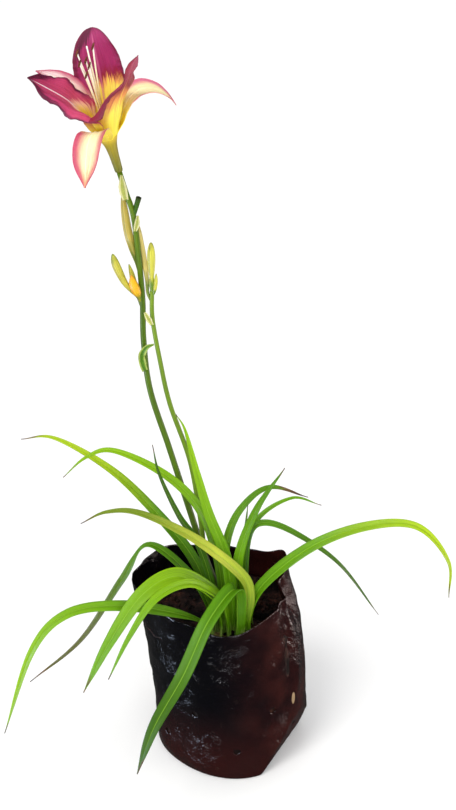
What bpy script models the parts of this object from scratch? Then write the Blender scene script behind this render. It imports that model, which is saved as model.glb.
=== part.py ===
"""A daylily in bloom, growing in a soft black nursery bag filled with soil.

The origin is the middle of the bag's flat base. +Z is up, and the plant is seen
from -Y: its long leaves arch away to the left (-X) and to the right (+X).
"""
import math

import bmesh
import bpy
from mathutils import Vector

MM = 0.001
TOUCH = 0.3 * MM          # clearance between two pieces that rest on each other

# The bag
BAG_RADIUS = 65 * MM      # an 8-inch bag: 203 mm across when it is pressed flat
BAG_FOOT_RADIUS = 62.5 * MM
BAG_FOOT_SPREAD = 1.5 * MM    # the foot reaches this much further out on its left than on its right
BAG_FOOT_CORNERS = 2.5 * MM   # its outline is slightly three-cornered
BAG_CORNER_HEIGHT = 16 * MM
BAG_FLARE = 4 * MM        # how much wider the mouth is than the waist
BAG_LEAN = 14 * MM        # the mouth has slumped this far to the left
BAG_SQUASH = 0.10         # the mouth is this much shallower than it is wide
BAG_WALL = 0.8 * MM
BAG_RIM = 159 * MM
BAG_FLAT = (-26, 22, 44.7 * MM)   # the gusset's flat: its bearing and lean in degrees, its distance out
COLLAR_FOLD = 14 * MM     # the collar is folded in this far at its right
COLLAR_FOLD_BEARING = -8
COLLAR_FOLD_START = 118 * MM
BAG_SIDES = 48
RIM_PEAKS = [(278, 22, -11), (28, 16, 10), (130, 20, 6)]   # bearing, half width in degrees, rise in mm
BAG_FOOT_MIDDLE = Vector((3 * MM, 2 * MM, 0))
BAG_LEVELS = [0, 3, 8, 17, 38, 60, 84, 106, 126]
BAG_COLLAR_ROWS = 3       # rows of the film that stand free above the soil
DRAIN_RADIUS = 3 * MM
DRAIN_LEVELS = [30 * MM, 64 * MM]
DRAINS_IN_ROW = 6

# The soil and the crown in it
SOIL_TOP = 130 * MM
SOIL_LUMP = 1.8 * MM
SOIL_INSET = BAG_WALL + 2 * TOUCH
SOIL_FOOT_INSET = 1.2 * MM    # the soil stands back this much more in the bag's bottom corner
CROWN_AT = Vector((-1 * MM, -28 * MM, 0))
CROWN_HALF_WIDTH = 26 * MM
CROWN_HALF_DEPTH = 25 * MM
CROWN_TOP = 131 * MM
CROWN_FOOT = 108 * MM
CROWN_SIDES = 24

# The leaves: each stands on the crown and arches out along its heading
BLADE_THICKNESS = 0.9 * MM
LEAF_SECTIONS = 17
LEAF_FOOT_HEIGHT = CROWN_TOP + TOUCH
BASE_FOLD = 0.75          # rise of the margins over the keel, by half width, at the foot
TIP_FOLD = 0.25
TIP_HALF_WIDTH = 0.7 * MM

# The flowering stems
STEM_SIDES = 8
MAIN_FOOT = Vector((-7 * MM, -9 * MM, LEAF_FOOT_HEIGHT))
SIDE_FOOT = Vector((-6 * MM, -21 * MM, LEAF_FOOT_HEIGHT))
MAIN_RADII = [2.9, 2.6, 2.4, 2.3, 2.2, 2.1]
SIDE_RADII = [2.5, 2.2, 2.0, 1.9, 1.8, 1.7]

# The bloom: a narrow tube that opens into a bell of six tepals
BLOOM_SHEET = 0.8 * MM
TUBE_PROFILE = [(2.5, 0), (2.8, 8), (3.2, 16), (4.2, 24), (6.4, 31)]
PETAL_SHAPE = [0, 0.62, 0.95, 1.0, 0.82, 0.26]    # the outline: half widths from the tube to the tip
BLUNT_SHAPE = [0, 0.62, 0.94, 1.0, 0.92, 0.42]
SEPAL_SHAPE = [0, 0.66, 0.97, 1.0, 0.80, 0.16]
TUBE_TILT_LEFT = 12       # degrees from upright, seen from the front
TUBE_TILT_FRONT = 19      # degrees from upright, towards the viewer
PETAL_HALF_ANGLE = 34     # the share of the tube's turn that one petal takes, halved
SEPAL_HALF_ANGLE = 26
TEPAL_SECTIONS = 12
TEPAL_COLUMNS = 6
STAMEN_SEAT = 20 * MM     # where in the tube the filaments come together
THREAD_TIPS = [           # six filaments, and last the style: how high, behind and to the right, in mm
    (99, 5, -5), (93, 1, -4.5), (91, 7, -1), (90, 1, 1.6), (99, 10, 6), (86, -3.5, -1.2), (103, 5, 3),
]

COLOURS = {
    "bag_film": ((0.012, 0.011, 0.013), 0.28),
    "soil": ((0.085, 0.032, 0.018), 0.95),
    "crown": ((0.42, 0.45, 0.24), 0.60),
    "leaf": ((0.11, 0.30, 0.03), 0.45),
    "leaf_light": ((0.24, 0.44, 0.05), 0.45),
    "leaf_yellow": ((0.46, 0.47, 0.06), 0.50),
    "stem": ((0.10, 0.25, 0.05), 0.50),
    "petal": ((0.36, 0.04, 0.16), 0.45),
    "stamen": ((0.90, 0.80, 0.30), 0.50),
    "bud": ((0.50, 0.44, 0.10), 0.50),
    "bud_orange": ((0.80, 0.40, 0.03), 0.50),
    "bract": ((0.45, 0.52, 0.20), 0.60),
}


def clear_scene():
    for thing in list(bpy.data.objects):
        bpy.data.objects.remove(thing, do_unlink=True)


def material(name):
    """The plain finish called name, made once."""
    if name in bpy.data.materials:
        return bpy.data.materials[name]
    made = bpy.data.materials.new(name)
    made.use_nodes = True
    colour, roughness = COLOURS[name]
    shader = made.node_tree.nodes["Principled BSDF"]
    shader.inputs["Base Color"].default_value = (*colour, 1)
    shader.inputs["Roughness"].default_value = roughness
    shader.inputs["Metallic"].default_value = 0
    return made


def place(name, mesh_data, finish, smooth=True):
    """Turn a bmesh into a named object with its finish."""
    bmesh.ops.recalc_face_normals(mesh_data, faces=mesh_data.faces)
    mesh = bpy.data.meshes.new(name)
    mesh_data.to_mesh(mesh)
    mesh_data.free()
    if smooth:
        mesh.shade_smooth()
    mesh.materials.append(material(finish))
    piece = bpy.data.objects.new(name, mesh)
    bpy.context.scene.collection.objects.link(piece)
    return piece


def thicken(piece, thickness, offset):
    """Give a sheet its thickness: offset 0 is half to each side, -1 all behind its faces."""
    solidify = piece.modifiers.new("thickness", "SOLIDIFY")
    solidify.thickness = thickness
    solidify.offset = offset
    return piece


def settle(piece):
    """Apply a piece's modifiers to its mesh."""
    seen = piece.evaluated_get(bpy.context.evaluated_depsgraph_get())
    mesh = bpy.data.meshes.new_from_object(seen)
    piece.modifiers.clear()
    piece.data = mesh
    return piece


def fuse(name, pieces):
    """Join overlapping closed pieces into one body by a Boolean union."""
    first, rest = pieces[0], pieces[1:]
    helpers = bpy.data.collections.new(name + "_parts")
    for piece in rest:
        bpy.context.scene.collection.objects.unlink(piece)
        helpers.objects.link(piece)
    bpy.context.scene.collection.children.link(helpers)
    union = first.modifiers.new("union", "BOOLEAN")
    union.operation = "UNION"
    union.operand_type = "COLLECTION"
    union.collection = helpers
    settle(first)
    for piece in rest:
        bpy.data.objects.remove(piece, do_unlink=True)
    bpy.data.collections.remove(helpers)
    first.name = name
    first.data.name = name
    return first


def smooth_step(x):
    x = min(1.0, max(0.0, x))
    return x * x * (3 - 2 * x)


def along(values, share):
    """A smooth curve through evenly spaced values (numbers or vectors), read at share 0 to 1."""
    last = len(values) - 1
    place_in = min(max(share, 0.0), 1.0) * last
    i = min(int(place_in), last - 1)
    u = place_in - i
    p1, p2 = values[i], values[i + 1]
    p0 = values[i - 1] if i > 0 else p1 * 2 - p2
    p3 = values[i + 2] if i + 2 <= last else p2 * 2 - p1
    return (p1 * 2 + (p2 - p0) * u + (p0 * 2 - p1 * 5 + p2 * 4 - p3) * u ** 2
            + (p1 * 3 - p0 - p2 * 3 + p3) * u ** 3) * 0.5


def even_path(points, count):
    """Points evenly spaced along the smooth curve through a few points, with their shares."""
    fine = [along(points, i / 400) for i in range(401)]
    lengths = [0.0]
    for a, b in zip(fine, fine[1:]):
        lengths.append(lengths[-1] + (b - a).length)
    result, j = [], 0
    for i in range(count + 1):
        wanted = lengths[-1] * i / count
        while j < 399 and lengths[j + 1] < wanted:
            j += 1
        part = (wanted - lengths[j]) / max(lengths[j + 1] - lengths[j], 1e-9)
        result.append(fine[j].lerp(fine[j + 1], part))
    return result


def directions(points):
    """The direction of travel at each point of a path."""
    ahead = points[1:] + points[-1:]
    behind = points[:1] + points[:-1]
    return [(b - a).normalized() for a, b in zip(behind, ahead)]


def skin(mesh_data, rows, closed):
    """Span neighbouring rows of points with triangles that all lean the same way."""
    made = [[mesh_data.verts.new(p) for p in row] for row in rows]
    for low, high in zip(made, made[1:]):
        count = len(low)
        for j in range(count if closed else count - 1):
            k = (j + 1) % count
            mesh_data.faces.new((low[j], low[k], high[k]))
            mesh_data.faces.new((low[j], high[k], high[j]))
    return made


def cap(mesh_data, ring, centre):
    """Close a ring of vertices with a fan."""
    middle = mesh_data.verts.new(centre)
    for j in range(len(ring)):
        mesh_data.faces.new((ring[j], ring[(j + 1) % len(ring)], middle))


# The bag, the soil and the crown

def degrees_from(turn, bearing):
    """How far a turn (radians) is from a bearing (degrees), from -180 to 180 degrees."""
    return (math.degrees(turn) - bearing + 180) % 360 - 180


def bag_spot(turn, height, inset=0.0):
    """Where the film is at a turn round the bag (radians, 0 to the right) and a height."""
    rise = height / BAG_RIM
    low = min(1.0, height / BAG_CORNER_HEIGHT)
    foot = BAG_FOOT_RADIUS - BAG_FOOT_SPREAD * math.cos(turn)
    foot += BAG_FOOT_CORNERS * math.cos(3 * (turn - math.radians(285)))
    radius = foot + (BAG_RADIUS - foot) * (1 - (1 - low) ** 2)
    radius += BAG_FLARE * rise
    radius += low * MM * (0.9 * math.cos(5 * turn + 1.3 + 2.2 * rise) + 0.5 * math.cos(9 * turn - 3 * rise))
    bearing, lean, distance = math.radians(BAG_FLAT[0]), math.radians(BAG_FLAT[1]), BAG_FLAT[2]
    facing = math.cos(turn - bearing) * math.cos(lean)
    if facing > 0.3:
        radius = min(radius, (distance + height * math.sin(lean)) / facing)
    folded = math.exp(-(degrees_from(turn, COLLAR_FOLD_BEARING) / 22) ** 2)
    radius -= inset + COLLAR_FOLD * folded * smooth_step((height - COLLAR_FOLD_START) / (35 * MM))
    x = radius * math.cos(turn) - BAG_LEAN * rise ** 2
    y = radius * math.sin(turn) * (1 - BAG_SQUASH * rise)
    return Vector((x, y, height))


def rim_height(turn):
    """The cut edge of the film: a dip at the front, and a peak at each side of the back."""
    height = BAG_RIM + 3 * MM * math.cos(2 * turn)
    for bearing, spread, rise in RIM_PEAKS:
        height += rise * MM * math.exp(-(degrees_from(turn, bearing) / spread) ** 2)
    return height


def turns():
    return [2 * math.pi * j / BAG_SIDES for j in range(BAG_SIDES)]


def drain_cutter():
    """Short radial rods that punch the drain holes."""
    mesh_data = bmesh.new()
    for row, level in enumerate(DRAIN_LEVELS):
        for i in range(DRAINS_IN_ROW):
            turn = math.radians(-26 + 30 * row + 360 / DRAINS_IN_ROW * i)
            centre = bag_spot(turn, level)
            out = Vector((math.cos(turn), math.sin(turn), 0))
            side = Vector((-out.y, out.x, 0))
            rings = []
            for depth in (-2.6 * MM, 4 * MM):
                ring = []
                for j in range(8):
                    angle = math.pi / 4 * j
                    across = side * math.cos(angle) + Vector((0, 0, math.sin(angle)))
                    ring.append(centre + out * depth + across * DRAIN_RADIUS)
                rings.append(ring)
            made = skin(mesh_data, rings, closed=True)
            for ring, points in zip(made, rings):
                cap(mesh_data, ring, sum(points, Vector()) / len(points))
    cutter = place("drain_cutter", mesh_data, "bag_film")
    cutter.hide_render = True
    cutter.display_type = "WIRE"
    return cutter


def grow_bag():
    rows = []
    for level in BAG_LEVELS:
        rows.append([bag_spot(turn, level * MM) for turn in turns()])
    top = BAG_LEVELS[-1] * MM
    for i in range(1, BAG_COLLAR_ROWS + 1):
        share = i / BAG_COLLAR_ROWS
        rows.append([bag_spot(turn, top + (rim_height(turn) - top) * share) for turn in turns()])
    mesh_data = bmesh.new()
    made = skin(mesh_data, rows, closed=True)
    cap(mesh_data, made[0], BAG_FOOT_MIDDLE)
    bag = thicken(place("grow_bag", mesh_data, "bag_film"), BAG_WALL, -1)
    holes = bag.modifiers.new("drain_holes", "BOOLEAN")
    holes.operation = "DIFFERENCE"
    holes.object = drain_cutter()
    return bag


def crown_spot(turn, height, inset=0.0):
    return CROWN_AT + Vector((
        (CROWN_HALF_WIDTH - inset) * math.cos(turn),
        (CROWN_HALF_DEPTH - inset) * math.sin(turn),
        height,
    ))


def soil_height(spot):
    """The uneven top of the soil."""
    x, y = spot.x / MM, spot.y / MM
    waves = math.sin(0.21 * x + 1.1) * math.cos(0.17 * y) + 0.5 * math.sin(0.37 * x - 0.29 * y)
    return SOIL_TOP + SOIL_LUMP * waves / 1.5


def soil():
    """Fills the bag, with a plain hole for the crown."""
    floor = BAG_WALL + TOUCH
    wall = []
    for level in BAG_LEVELS:
        height = max(level * MM, floor)
        inset = SOIL_INSET + SOIL_FOOT_INSET * max(0, 1 - height / BAG_CORNER_HEIGHT)
        wall.append([bag_spot(turn, height, inset) for turn in turns()])
    edge = wall[-1]
    mouth = [crown_spot(turn, CROWN_TOP - 1 * MM, -TOUCH) for turn in turns()]
    surface = []
    for share in (0.25, 0.5, 0.75):
        ring = []
        for outer, inner in zip(edge, mouth):
            spot = outer.lerp(inner, share)
            spot.z = soil_height(spot)
            ring.append(spot)
        surface.append(ring)
    pit_floor = CROWN_FOOT - TOUCH
    pit = [crown_spot(turn, pit_floor, -TOUCH) for turn in turns()]
    mesh_data = bmesh.new()
    made = skin(mesh_data, wall + surface + [mouth, pit], closed=True)
    cap(mesh_data, made[0], Vector((0, 0, floor)))
    cap(mesh_data, made[-1], CROWN_AT + Vector((0, 0, pit_floor)))
    return place("soil", mesh_data, "soil", smooth=False)


def crown():
    """The short rootstock that every leaf and flowering stem grows from."""
    rings = []
    for height, inset in ((CROWN_FOOT, 9 * MM), (CROWN_FOOT + 8 * MM, 1.5 * MM), (CROWN_TOP - 2 * MM, 0),
                          (CROWN_TOP, 1.2 * MM)):
        rings.append([crown_spot(2 * math.pi * j / CROWN_SIDES, height, inset) for j in range(CROWN_SIDES)])
    mesh_data = bmesh.new()
    made = skin(mesh_data, rings, closed=True)
    cap(mesh_data, made[0], CROWN_AT + Vector((0, 0, CROWN_FOOT)))
    cap(mesh_data, made[-1], CROWN_AT + Vector((0, 0, CROWN_TOP)))
    return place("crown", mesh_data, "crown")


# The leaves

def leaf_half_width(share, widest):
    """Narrow at the foot, widest at two fifths, drawn out to a point."""
    swell = 0.62 + 0.38 * smooth_step(share / 0.3)
    taper = (1 - share ** 2.4) ** 0.85
    return max(widest / 2 * swell * taper, TIP_HALF_WIDTH)


def leaf_frames(foot, heading, arch, lean):
    """Points along a leaf's keel, each with its side direction and its upper face's direction."""
    angle = math.radians(heading)
    out = Vector((math.cos(angle), math.sin(angle), 0))
    base = Vector((foot[0] * MM, foot[1] * MM, LEAF_FOOT_HEIGHT))
    points = [base]
    for reach, height in arch:
        points.append(Vector((base.x, base.y, SOIL_TOP + height * MM)) + out * reach * MM)
    keel = even_path(points, LEAF_SECTIONS)
    turn_to_front = 1 if out.x >= 0 else -1
    frames = []
    for i, (spot, ahead) in enumerate(zip(keel, directions(keel))):
        if i == 0:
            ahead = Vector((0, 0, 1))
        side = Vector((-out.y, out.x, 0))
        face = ahead.cross(side).normalized()
        roll = math.radians(along([float(value) for value in lean], i / LEAF_SECTIONS)) * turn_to_front
        frames.append((
            spot,
            side * math.cos(roll) + face * math.sin(roll),
            face * math.cos(roll) - side * math.sin(roll),
        ))
    return frames


def leaf(name, foot, heading, arch, width, lean=(75, 50, 35), finish="leaf"):
    """A strap leaf with a keel, from its foot (x, y) along (reach, height above the soil).

    lean is how far the upper face is turned to the front, in degrees, from the foot to the tip.
    """
    rows = []
    for i, (spot, side, face) in enumerate(leaf_frames(foot, heading, arch, lean)):
        share = i / LEAF_SECTIONS
        half = leaf_half_width(share, width * MM)
        rise = face * half * (BASE_FOLD + (TIP_FOLD - BASE_FOLD) * smooth_step(share / 0.5))
        rows.append([spot - side * half + rise, spot, spot + side * half + rise])
    mesh_data = bmesh.new()
    skin(mesh_data, rows, closed=False)
    return thicken(place(name, mesh_data, finish), BLADE_THICKNESS, 0)


def leaves():
    """Each leaf's foot, heading and arch, in millimetres and degrees, from left to right."""
    leaf("leaf_left_high_far", (-18, -15), 168,
         [(1, 22), (17, 63), (53, 107), (86, 137), (130, 159), (159, 155)], 9.5, finish="leaf_light")
    leaf("leaf_left_high_near", (-9, -27), 180,
         [(0, 40), (6, 81), (20, 119), (47, 148), (85, 168), (107, 162), (126, 144)], 9.5, finish="leaf_light")
    leaf("leaf_clasping_stem", (0, -33), 180,
         [(1, 40), (6, 76), (19, 114), (29, 154), (37, 189), (44, 203)], 10, lean=(85, 80, 80))
    leaf("leaf_left_erect", (-14, -34), 196,
         [(3, 45), (15, 90), (30, 118), (45, 157), (50, 184)], 6.5, lean=(80, 70, 70))
    leaf("leaf_yellowing", (13, -41), 192,
         [(3, 14), (0, 40), (7, 63), (43, 100), (86, 129), (113, 134), (134, 126)], 10, finish="leaf_yellow")
    leaf("leaf_over_left_rim", (-19, -27), 190,
         [(0, 20), (16, 54), (50, 87), (72, 56), (108, 1), (152, -36)], 7.5)
    leaf("leaf_left_long", (-17, -43), 205,
         [(3, 14), (29, 33), (79, 55), (124, 60), (154, 34), (181, -37)], 9.5, finish="leaf_light")
    leaf("leaf_front_left_broad", (-10, -38), 214,
         [(2, 24), (12, 47), (42, 73), (74, 67), (105, 34), (130, -4)], 14.5, lean=(60, 35, 30), finish="leaf_light")
    leaf("leaf_front_left_narrow", (-4, -43), 222,
         [(3, 24), (11, 46), (41, 72), (75, 73), (102, 50), (124, 20)], 9, lean=(60, 35, 30))
    leaf("leaf_front", (3, -48), 235,
         [(-2, 26), (3, 53), (39, 42), (73, 10), (112, -16), (134, -46)], 13, lean=(5, 10, 20))
    leaf("leaf_right_long", (17, -36), -12,
         [(-4, 13), (7, 48), (46, 90), (90, 115), (130, 120), (156, 92), (159, 58)], 10, finish="leaf_light")
    leaf("leaf_right_erect", (8, -29), 8,
         [(-2, 28), (-3, 70), (11, 114), (34, 151)], 9.5, lean=(85, 75, 70))
    leaf("leaf_right_kinked", (16, -24), 5,
         [(-5, 45), (-2, 89), (10, 100), (35, 89), (73, 57), (108, 5)], 6)
    leaf("leaf_right_thin", (10, -18), 10,
         [(-1, 45), (8, 95), (38, 116), (64, 107)], 6)
    leaf("leaf_brown_tipped", (0, -13), 20,
         [(-6, 40), (-5, 76), (7, 105), (32, 121), (67, 105)], 8)
    leaf("leaf_back_short", (9, -9), 60,
         [(-4, 35), (-1, 68), (8, 107)], 7, lean=(85, 85, 85))


# The flowering stems, with their bracts and buds

def tube_rings(points, radii, sides, sections, upright_foot=False):
    """Rings of a tapering tube along a smooth path, without twist."""
    centres = even_path(points, sections)
    ways = directions(centres)
    if upright_foot:
        ways[0] = Vector((0, 0, 1))
    across = Vector((1, 0, 0))
    rings = []
    for i, (centre, ahead) in enumerate(zip(centres, ways)):
        across = (across - ahead * across.dot(ahead)).normalized()
        other = ahead.cross(across)
        radius = along(radii, i / sections) * MM
        ring = []
        for j in range(sides):
            angle = 2 * math.pi * j / sides
            ring.append(centre + (across * math.cos(angle) + other * math.sin(angle)) * radius)
        rings.append(ring)
    return centres, rings


def tube(name, points, radii, finish, sides=STEM_SIDES, sections=14, upright_foot=False):
    """A closed solid of round section: a stem, a bud or a filament."""
    centres, rings = tube_rings(points, radii, sides, sections, upright_foot)
    mesh_data = bmesh.new()
    made = skin(mesh_data, rings, closed=True)
    cap(mesh_data, made[0], centres[0])
    cap(mesh_data, made[-1], centres[-1])
    return place(name, mesh_data, finish)


def main_path():
    """The tall stem's line, up to the bloom, as (x, height) above its foot's own depth."""
    line = [(-7, 140), (-23, 190), (-36, 237), (-51, 292), (-65, 343), (-69, 385), (-69, 420),
            (-71, 452), (-74, 486), (-79, 504), (-83.5, 520)]
    return [MAIN_FOOT] + [Vector((x * MM, MAIN_FOOT.y, z * MM)) for x, z in line]


def side_path():
    """The shorter stem's line, up to its own buds."""
    line = [(-6, 140), (-21, 186), (-26, 232), (-34, 286), (-49, 336), (-56, 373), (-61, 408), (-61, 431)]
    return [SIDE_FOOT] + [Vector((x * MM, SIDE_FOOT.y, z * MM)) for x, z in line]


def blade(name, points, widths, facing, finish="bract", fold=0.5, sections=7):
    """A small bract through a few points (mm), with its inner face turned to facing."""
    keel = even_path([Vector(p) * MM for p in points], sections)
    rows = []
    for i, (spot, ahead) in enumerate(zip(keel, directions(keel))):
        side = Vector(facing).cross(ahead).normalized()
        face = ahead.cross(side)
        half = along(widths, i / sections) * MM / 2
        rise = face * half * fold
        rows.append([spot - side * half + rise, spot, spot + side * half + rise])
    mesh_data = bmesh.new()
    skin(mesh_data, rows, closed=False)
    return thicken(place(name, mesh_data, finish), BLADE_THICKNESS, 0)


def spots(*places):
    """Places given in millimetres."""
    return [Vector(place_mm) * MM for place_mm in places]


def stems():
    """The tall stem, with the stub of a spent flower's stalk, and the side stem."""
    tall = tube("stem_main", main_path(), MAIN_RADII, "stem", sections=26, upright_foot=True)
    stub = tube("stub", spots((-74.5, -9, 485), (-72.4, -9.2, 492), (-69.6, -9.8, 501)), [1.6, 1.9, 2.1], "stem",
                sections=4)
    fuse("stem_main", [tall, stub])
    tube("stem_side", side_path(), SIDE_RADII, "stem", sections=18, upright_foot=True)


def bracts():
    blade("bract_main", [(-68.5, -11.7, 363), (-70.8, -12.7, 368), (-69.5, -14, 374), (-65, -15.5, 381), (-60.5, -16.3, 384)],
          [2.0, 4.5, 5.0, 1.4], (0.3, -1, 0.3))
    blade("bract_side", [(-61.4, -23.5, 404.5), (-63.6, -24.1, 409.5), (-66.6, -24.3, 415)],
          [2.6, 4.4, 1.8], (-0.3, -1, 0.2), sections=4)
    blade("bract_bloom", [(-79.3, -11.75, 500), (-80.6, -12.3, 507), (-81.9, -13.1, 519)],
          [4.5, 6.0, 1.4], (-0.2, -1, 0.2), sections=5)
    blade("bract_upper", [(-73.0, -12.1, 475.5), (-71.6, -12.7, 481), (-70.6, -13.4, 488)],
          [2.4, 4.0, 1.6], (0.3, -1, 0.2), sections=4)


def buds():
    """The buds, each on its short stalk beside the stem that carries it."""
    tube("bud_long_left", spots((-72.8, -6, 447), (-76.2, -5.8, 461), (-79, -5.8, 474), (-80.9, -5, 489),
                                (-81.8, -4.6, 499), (-82.7, -4.3, 506)),
         [0.9, 2.3, 3.2, 3.3, 3.0, 2.2, 0.9], "bud", sections=12)
    tube("bud_long_right", spots((-64.3, -19.5, 429), (-65, -13.5, 437), (-66.8, -6.5, 447), (-69.3, -3.6, 462),
                                 (-71.8, -3.4, 481)),
         [0.9, 1.3, 1.9, 2.3, 2.3, 2.0, 0.8], "bud", sections=12)
    tube("bud_green_left", spots((-72.6, -9.5, 421.5), (-77.4, -11, 427.5), (-81.8, -12, 434), (-85.4, -12.5, 441.7),
                                 (-88.5, -13, 450), (-90.5, -13, 458)),
         [0.9, 1.2, 2.0, 2.7, 3.1, 3.1, 1.9], "bud", sections=12)
    tube("bud_small_left", spots((-72, -6.6, 427), (-75.4, -5.6, 432), (-77, -5.4, 439), (-79, -5.2, 447)),
         [0.9, 2.0, 2.3, 1.8, 0.7], "bud", sections=8)
    tube("bud_orange", spots((-71.95, -11.4, 424), (-73.5, -13.4, 428.5), (-75.6, -14.5, 435), (-76.8, -14.6, 441.5)),
         [0.9, 2.2, 3.4, 3.5, 2.6, 0.9], "bud_orange", sections=9)
    tube("bud_side_top", spots((-61, -21, 431.3), (-61, -21, 441), (-61, -21, 452), (-60.9, -21, 470)),
         [1.5, 1.4, 2.1, 2.7, 3.1, 3.0, 1.8], "bud", sections=12)
    tube("bud_side_small", spots((-58.8, -22.4, 432.5), (-57.8, -22.9, 439), (-57.4, -23.1, 446)),
         [0.8, 1.4, 1.5, 0.7], "bud", sections=5)


# The bloom

def bloom_frame():
    """The bloom's foot, and its axis, back and right directions."""
    left, front = math.radians(TUBE_TILT_LEFT), math.radians(TUBE_TILT_FRONT)
    axis = Vector((-math.tan(left), -math.tan(front), 1)).normalized()
    right = Vector((1, 0, 0))
    right = (right - axis * right.dot(axis)).normalized()
    back = axis.cross(right).normalized()
    foot = main_path()[-1] + axis * (BLOOM_SHEET / 2 + 2 * TOUCH)
    return foot, axis, back, right


class Tepal:
    """One of the six segments: where it stands, how it flares, how wide and how waved it is."""

    def __init__(self, turn, length, width, flare, tip_curl=0, ruffle=0, swing=0, twist=0, shape=PETAL_SHAPE):
        self.turn = turn            # degrees from the back, clockwise from the front
        self.length = length        # millimetres, beyond the tube
        self.width = width          # millimetres, at the widest
        self.flare = flare          # degrees from the axis, from the tube to the tip
        self.tip_curl = tip_curl    # degrees that the very tip bends further
        self.ruffle = ruffle        # millimetres, the margin's waves
        self.swing = swing          # degrees that the tip moves round the axis
        self.twist = twist          # degrees that the blade turns about its midrib
        self.shape = shape
        self.half_angle = math.radians(SEPAL_HALF_ANGLE if shape is SEPAL_SHAPE else PETAL_HALF_ANGLE)


TEPALS = [
    Tepal(5, 77, 38, [22, 29, 14, 16], tip_curl=30, ruffle=0.8, shape=BLUNT_SHAPE),
    Tepal(62, 69, 23, [24, 40, 122, 165], swing=9, shape=SEPAL_SHAPE),
    Tepal(126, 76, 36, [22, 21, 33, 14], tip_curl=20, ruffle=2.2, swing=-18, twist=13),
    Tepal(180, 71, 21, [30, 47, 157, 142], swing=18, shape=SEPAL_SHAPE),
    Tepal(252, 73, 34, [22, 14, 42, 40], ruffle=2.0, swing=10),
    Tepal(305, 72, 22, [22, 14, 68, 90], twist=-15, shape=SEPAL_SHAPE),
]


def tepal_point(tepal, share, across):
    """A point of a tepal in the bloom's own frame (axis, back, right), in millimetres."""
    step = 24
    tube_radius, tube_height = TUBE_PROFILE[-1]
    radial, height = tube_radius, tube_height
    pieces = max(1, int(share * step))
    for i in range(pieces):
        flare = math.radians(along(tepal.flare, share * (i + 0.5) / pieces))
        flare += math.radians(tepal.tip_curl) * smooth_step((share * (i + 0.5) / pieces - 0.78) / 0.22)
        radial += math.sin(flare) * tepal.length * share / pieces
        height += math.cos(flare) * tepal.length * share / pieces
    flare = math.radians(along(tepal.flare, share)) + math.radians(tepal.tip_curl) * smooth_step((share - 0.78) / 0.22)
    neck = tube_radius * tepal.half_angle
    half = neck * (1 - smooth_step(share / 0.3)) + tepal.width / 2 * along(tepal.shape, share)
    half = max(half, 0.9)
    bow = tepal.half_angle * (1 - smooth_step(share / 0.5)) + 0.35 * smooth_step(share / 0.5)
    lateral = half * math.sin(across * bow) / bow
    lift = half * (1 - math.cos(across * bow)) / bow
    wave = math.sin(2 * math.pi * 3.2 * share + (1.9 if across > 0 else 0))
    lift += tepal.ruffle * abs(across) ** 2 * wave * smooth_step(share / 0.35) * (1 - share ** 6)
    turned = math.radians(tepal.twist) * smooth_step(share / 0.6)
    lateral, lift = (
        lateral * math.cos(turned) - lift * math.sin(turned),
        lateral * math.sin(turned) + lift * math.cos(turned),
    )
    turn = math.radians(tepal.turn + tepal.swing * smooth_step(share))
    outward = radial - lift * math.cos(flare)
    return (
        height + lift * math.sin(flare),
        outward * math.cos(turn) - lateral * math.sin(turn),
        outward * math.sin(turn) + lateral * math.cos(turn),
    )


def in_bloom(coordinates):
    foot, axis, back, right = bloom_frame()
    high, behind, sideways = coordinates
    return foot + (axis * high + back * behind + right * sideways) * MM


def bloom():
    """One sheet: the tube's rings, from which the six tepals part."""
    columns = TEPAL_COLUMNS
    ring_turns = []
    for tepal in TEPALS:
        for j in range(columns):
            across = -1 + 2 * j / columns
            ring_turns.append(math.radians(tepal.turn) + across * tepal.half_angle)
    mesh_data = bmesh.new()
    rows = []
    for radius, height in TUBE_PROFILE:
        rows.append([in_bloom((height, radius * math.cos(t), radius * math.sin(t))) for t in ring_turns])
    made = skin(mesh_data, rows, closed=True)
    cap(mesh_data, made[0], in_bloom((0, 0, 0)))
    for index, tepal in enumerate(TEPALS):
        below = [made[-1][(index * columns + j) % len(ring_turns)] for j in range(columns + 1)]
        for i in range(1, TEPAL_SECTIONS + 1):
            share = i / TEPAL_SECTIONS
            row = [mesh_data.verts.new(in_bloom(tepal_point(tepal, share, -1 + 2 * j / columns)))
                   for j in range(columns + 1)]
            for j in range(columns):
                mesh_data.faces.new((below[j], below[j + 1], row[j + 1]))
                mesh_data.faces.new((below[j], row[j + 1], row[j]))
            below = row
    return thicken(place("bloom_tepals", mesh_data, "petal"), BLOOM_SHEET, 0)


def stamens():
    """Six filaments and the style, rising from one seat in the tube."""
    seat = STAMEN_SEAT / MM
    pieces = [tube("seat", [in_bloom((seat + h, 0, 0)) for h in (0, 1.5, 3)], [3.0, 3.3, 2.4], "stamen",
                   sides=10, sections=3)]
    for i, (high, behind, sideways) in enumerate(THREAD_TIPS):
        foot_turn = math.radians(60 * i + 20)
        line = []
        for share in (0, 0.25, 0.5, 0.75, 1):
            lean = share ** 1.4
            line.append(in_bloom((seat + 1.5 + (high - seat - 1.5) * share,
                                  1.3 * math.cos(foot_turn) * (1 - share) + behind * lean,
                                  1.3 * math.sin(foot_turn) * (1 - share) + sideways * lean)))
        pieces.append(tube("filament", line, [0.6, 0.6, 0.6, 0.6, 0.55], "stamen", sides=5, sections=6))
        if i < len(THREAD_TIPS) - 1:
            tip = line[-1]
            lying = Vector((1.5 * MM, 0, 2.0 * MM))
            pieces.append(tube("anther", [tip - lying, tip, tip + lying], [0.4, 0.95, 0.4], "stamen",
                               sides=6, sections=4))
    return fuse("bloom_stamens", pieces)


def main():
    clear_scene()
    grow_bag()
    soil()
    crown()
    leaves()
    stems()
    bracts()
    buds()
    bloom()
    stamens()


main()
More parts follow.
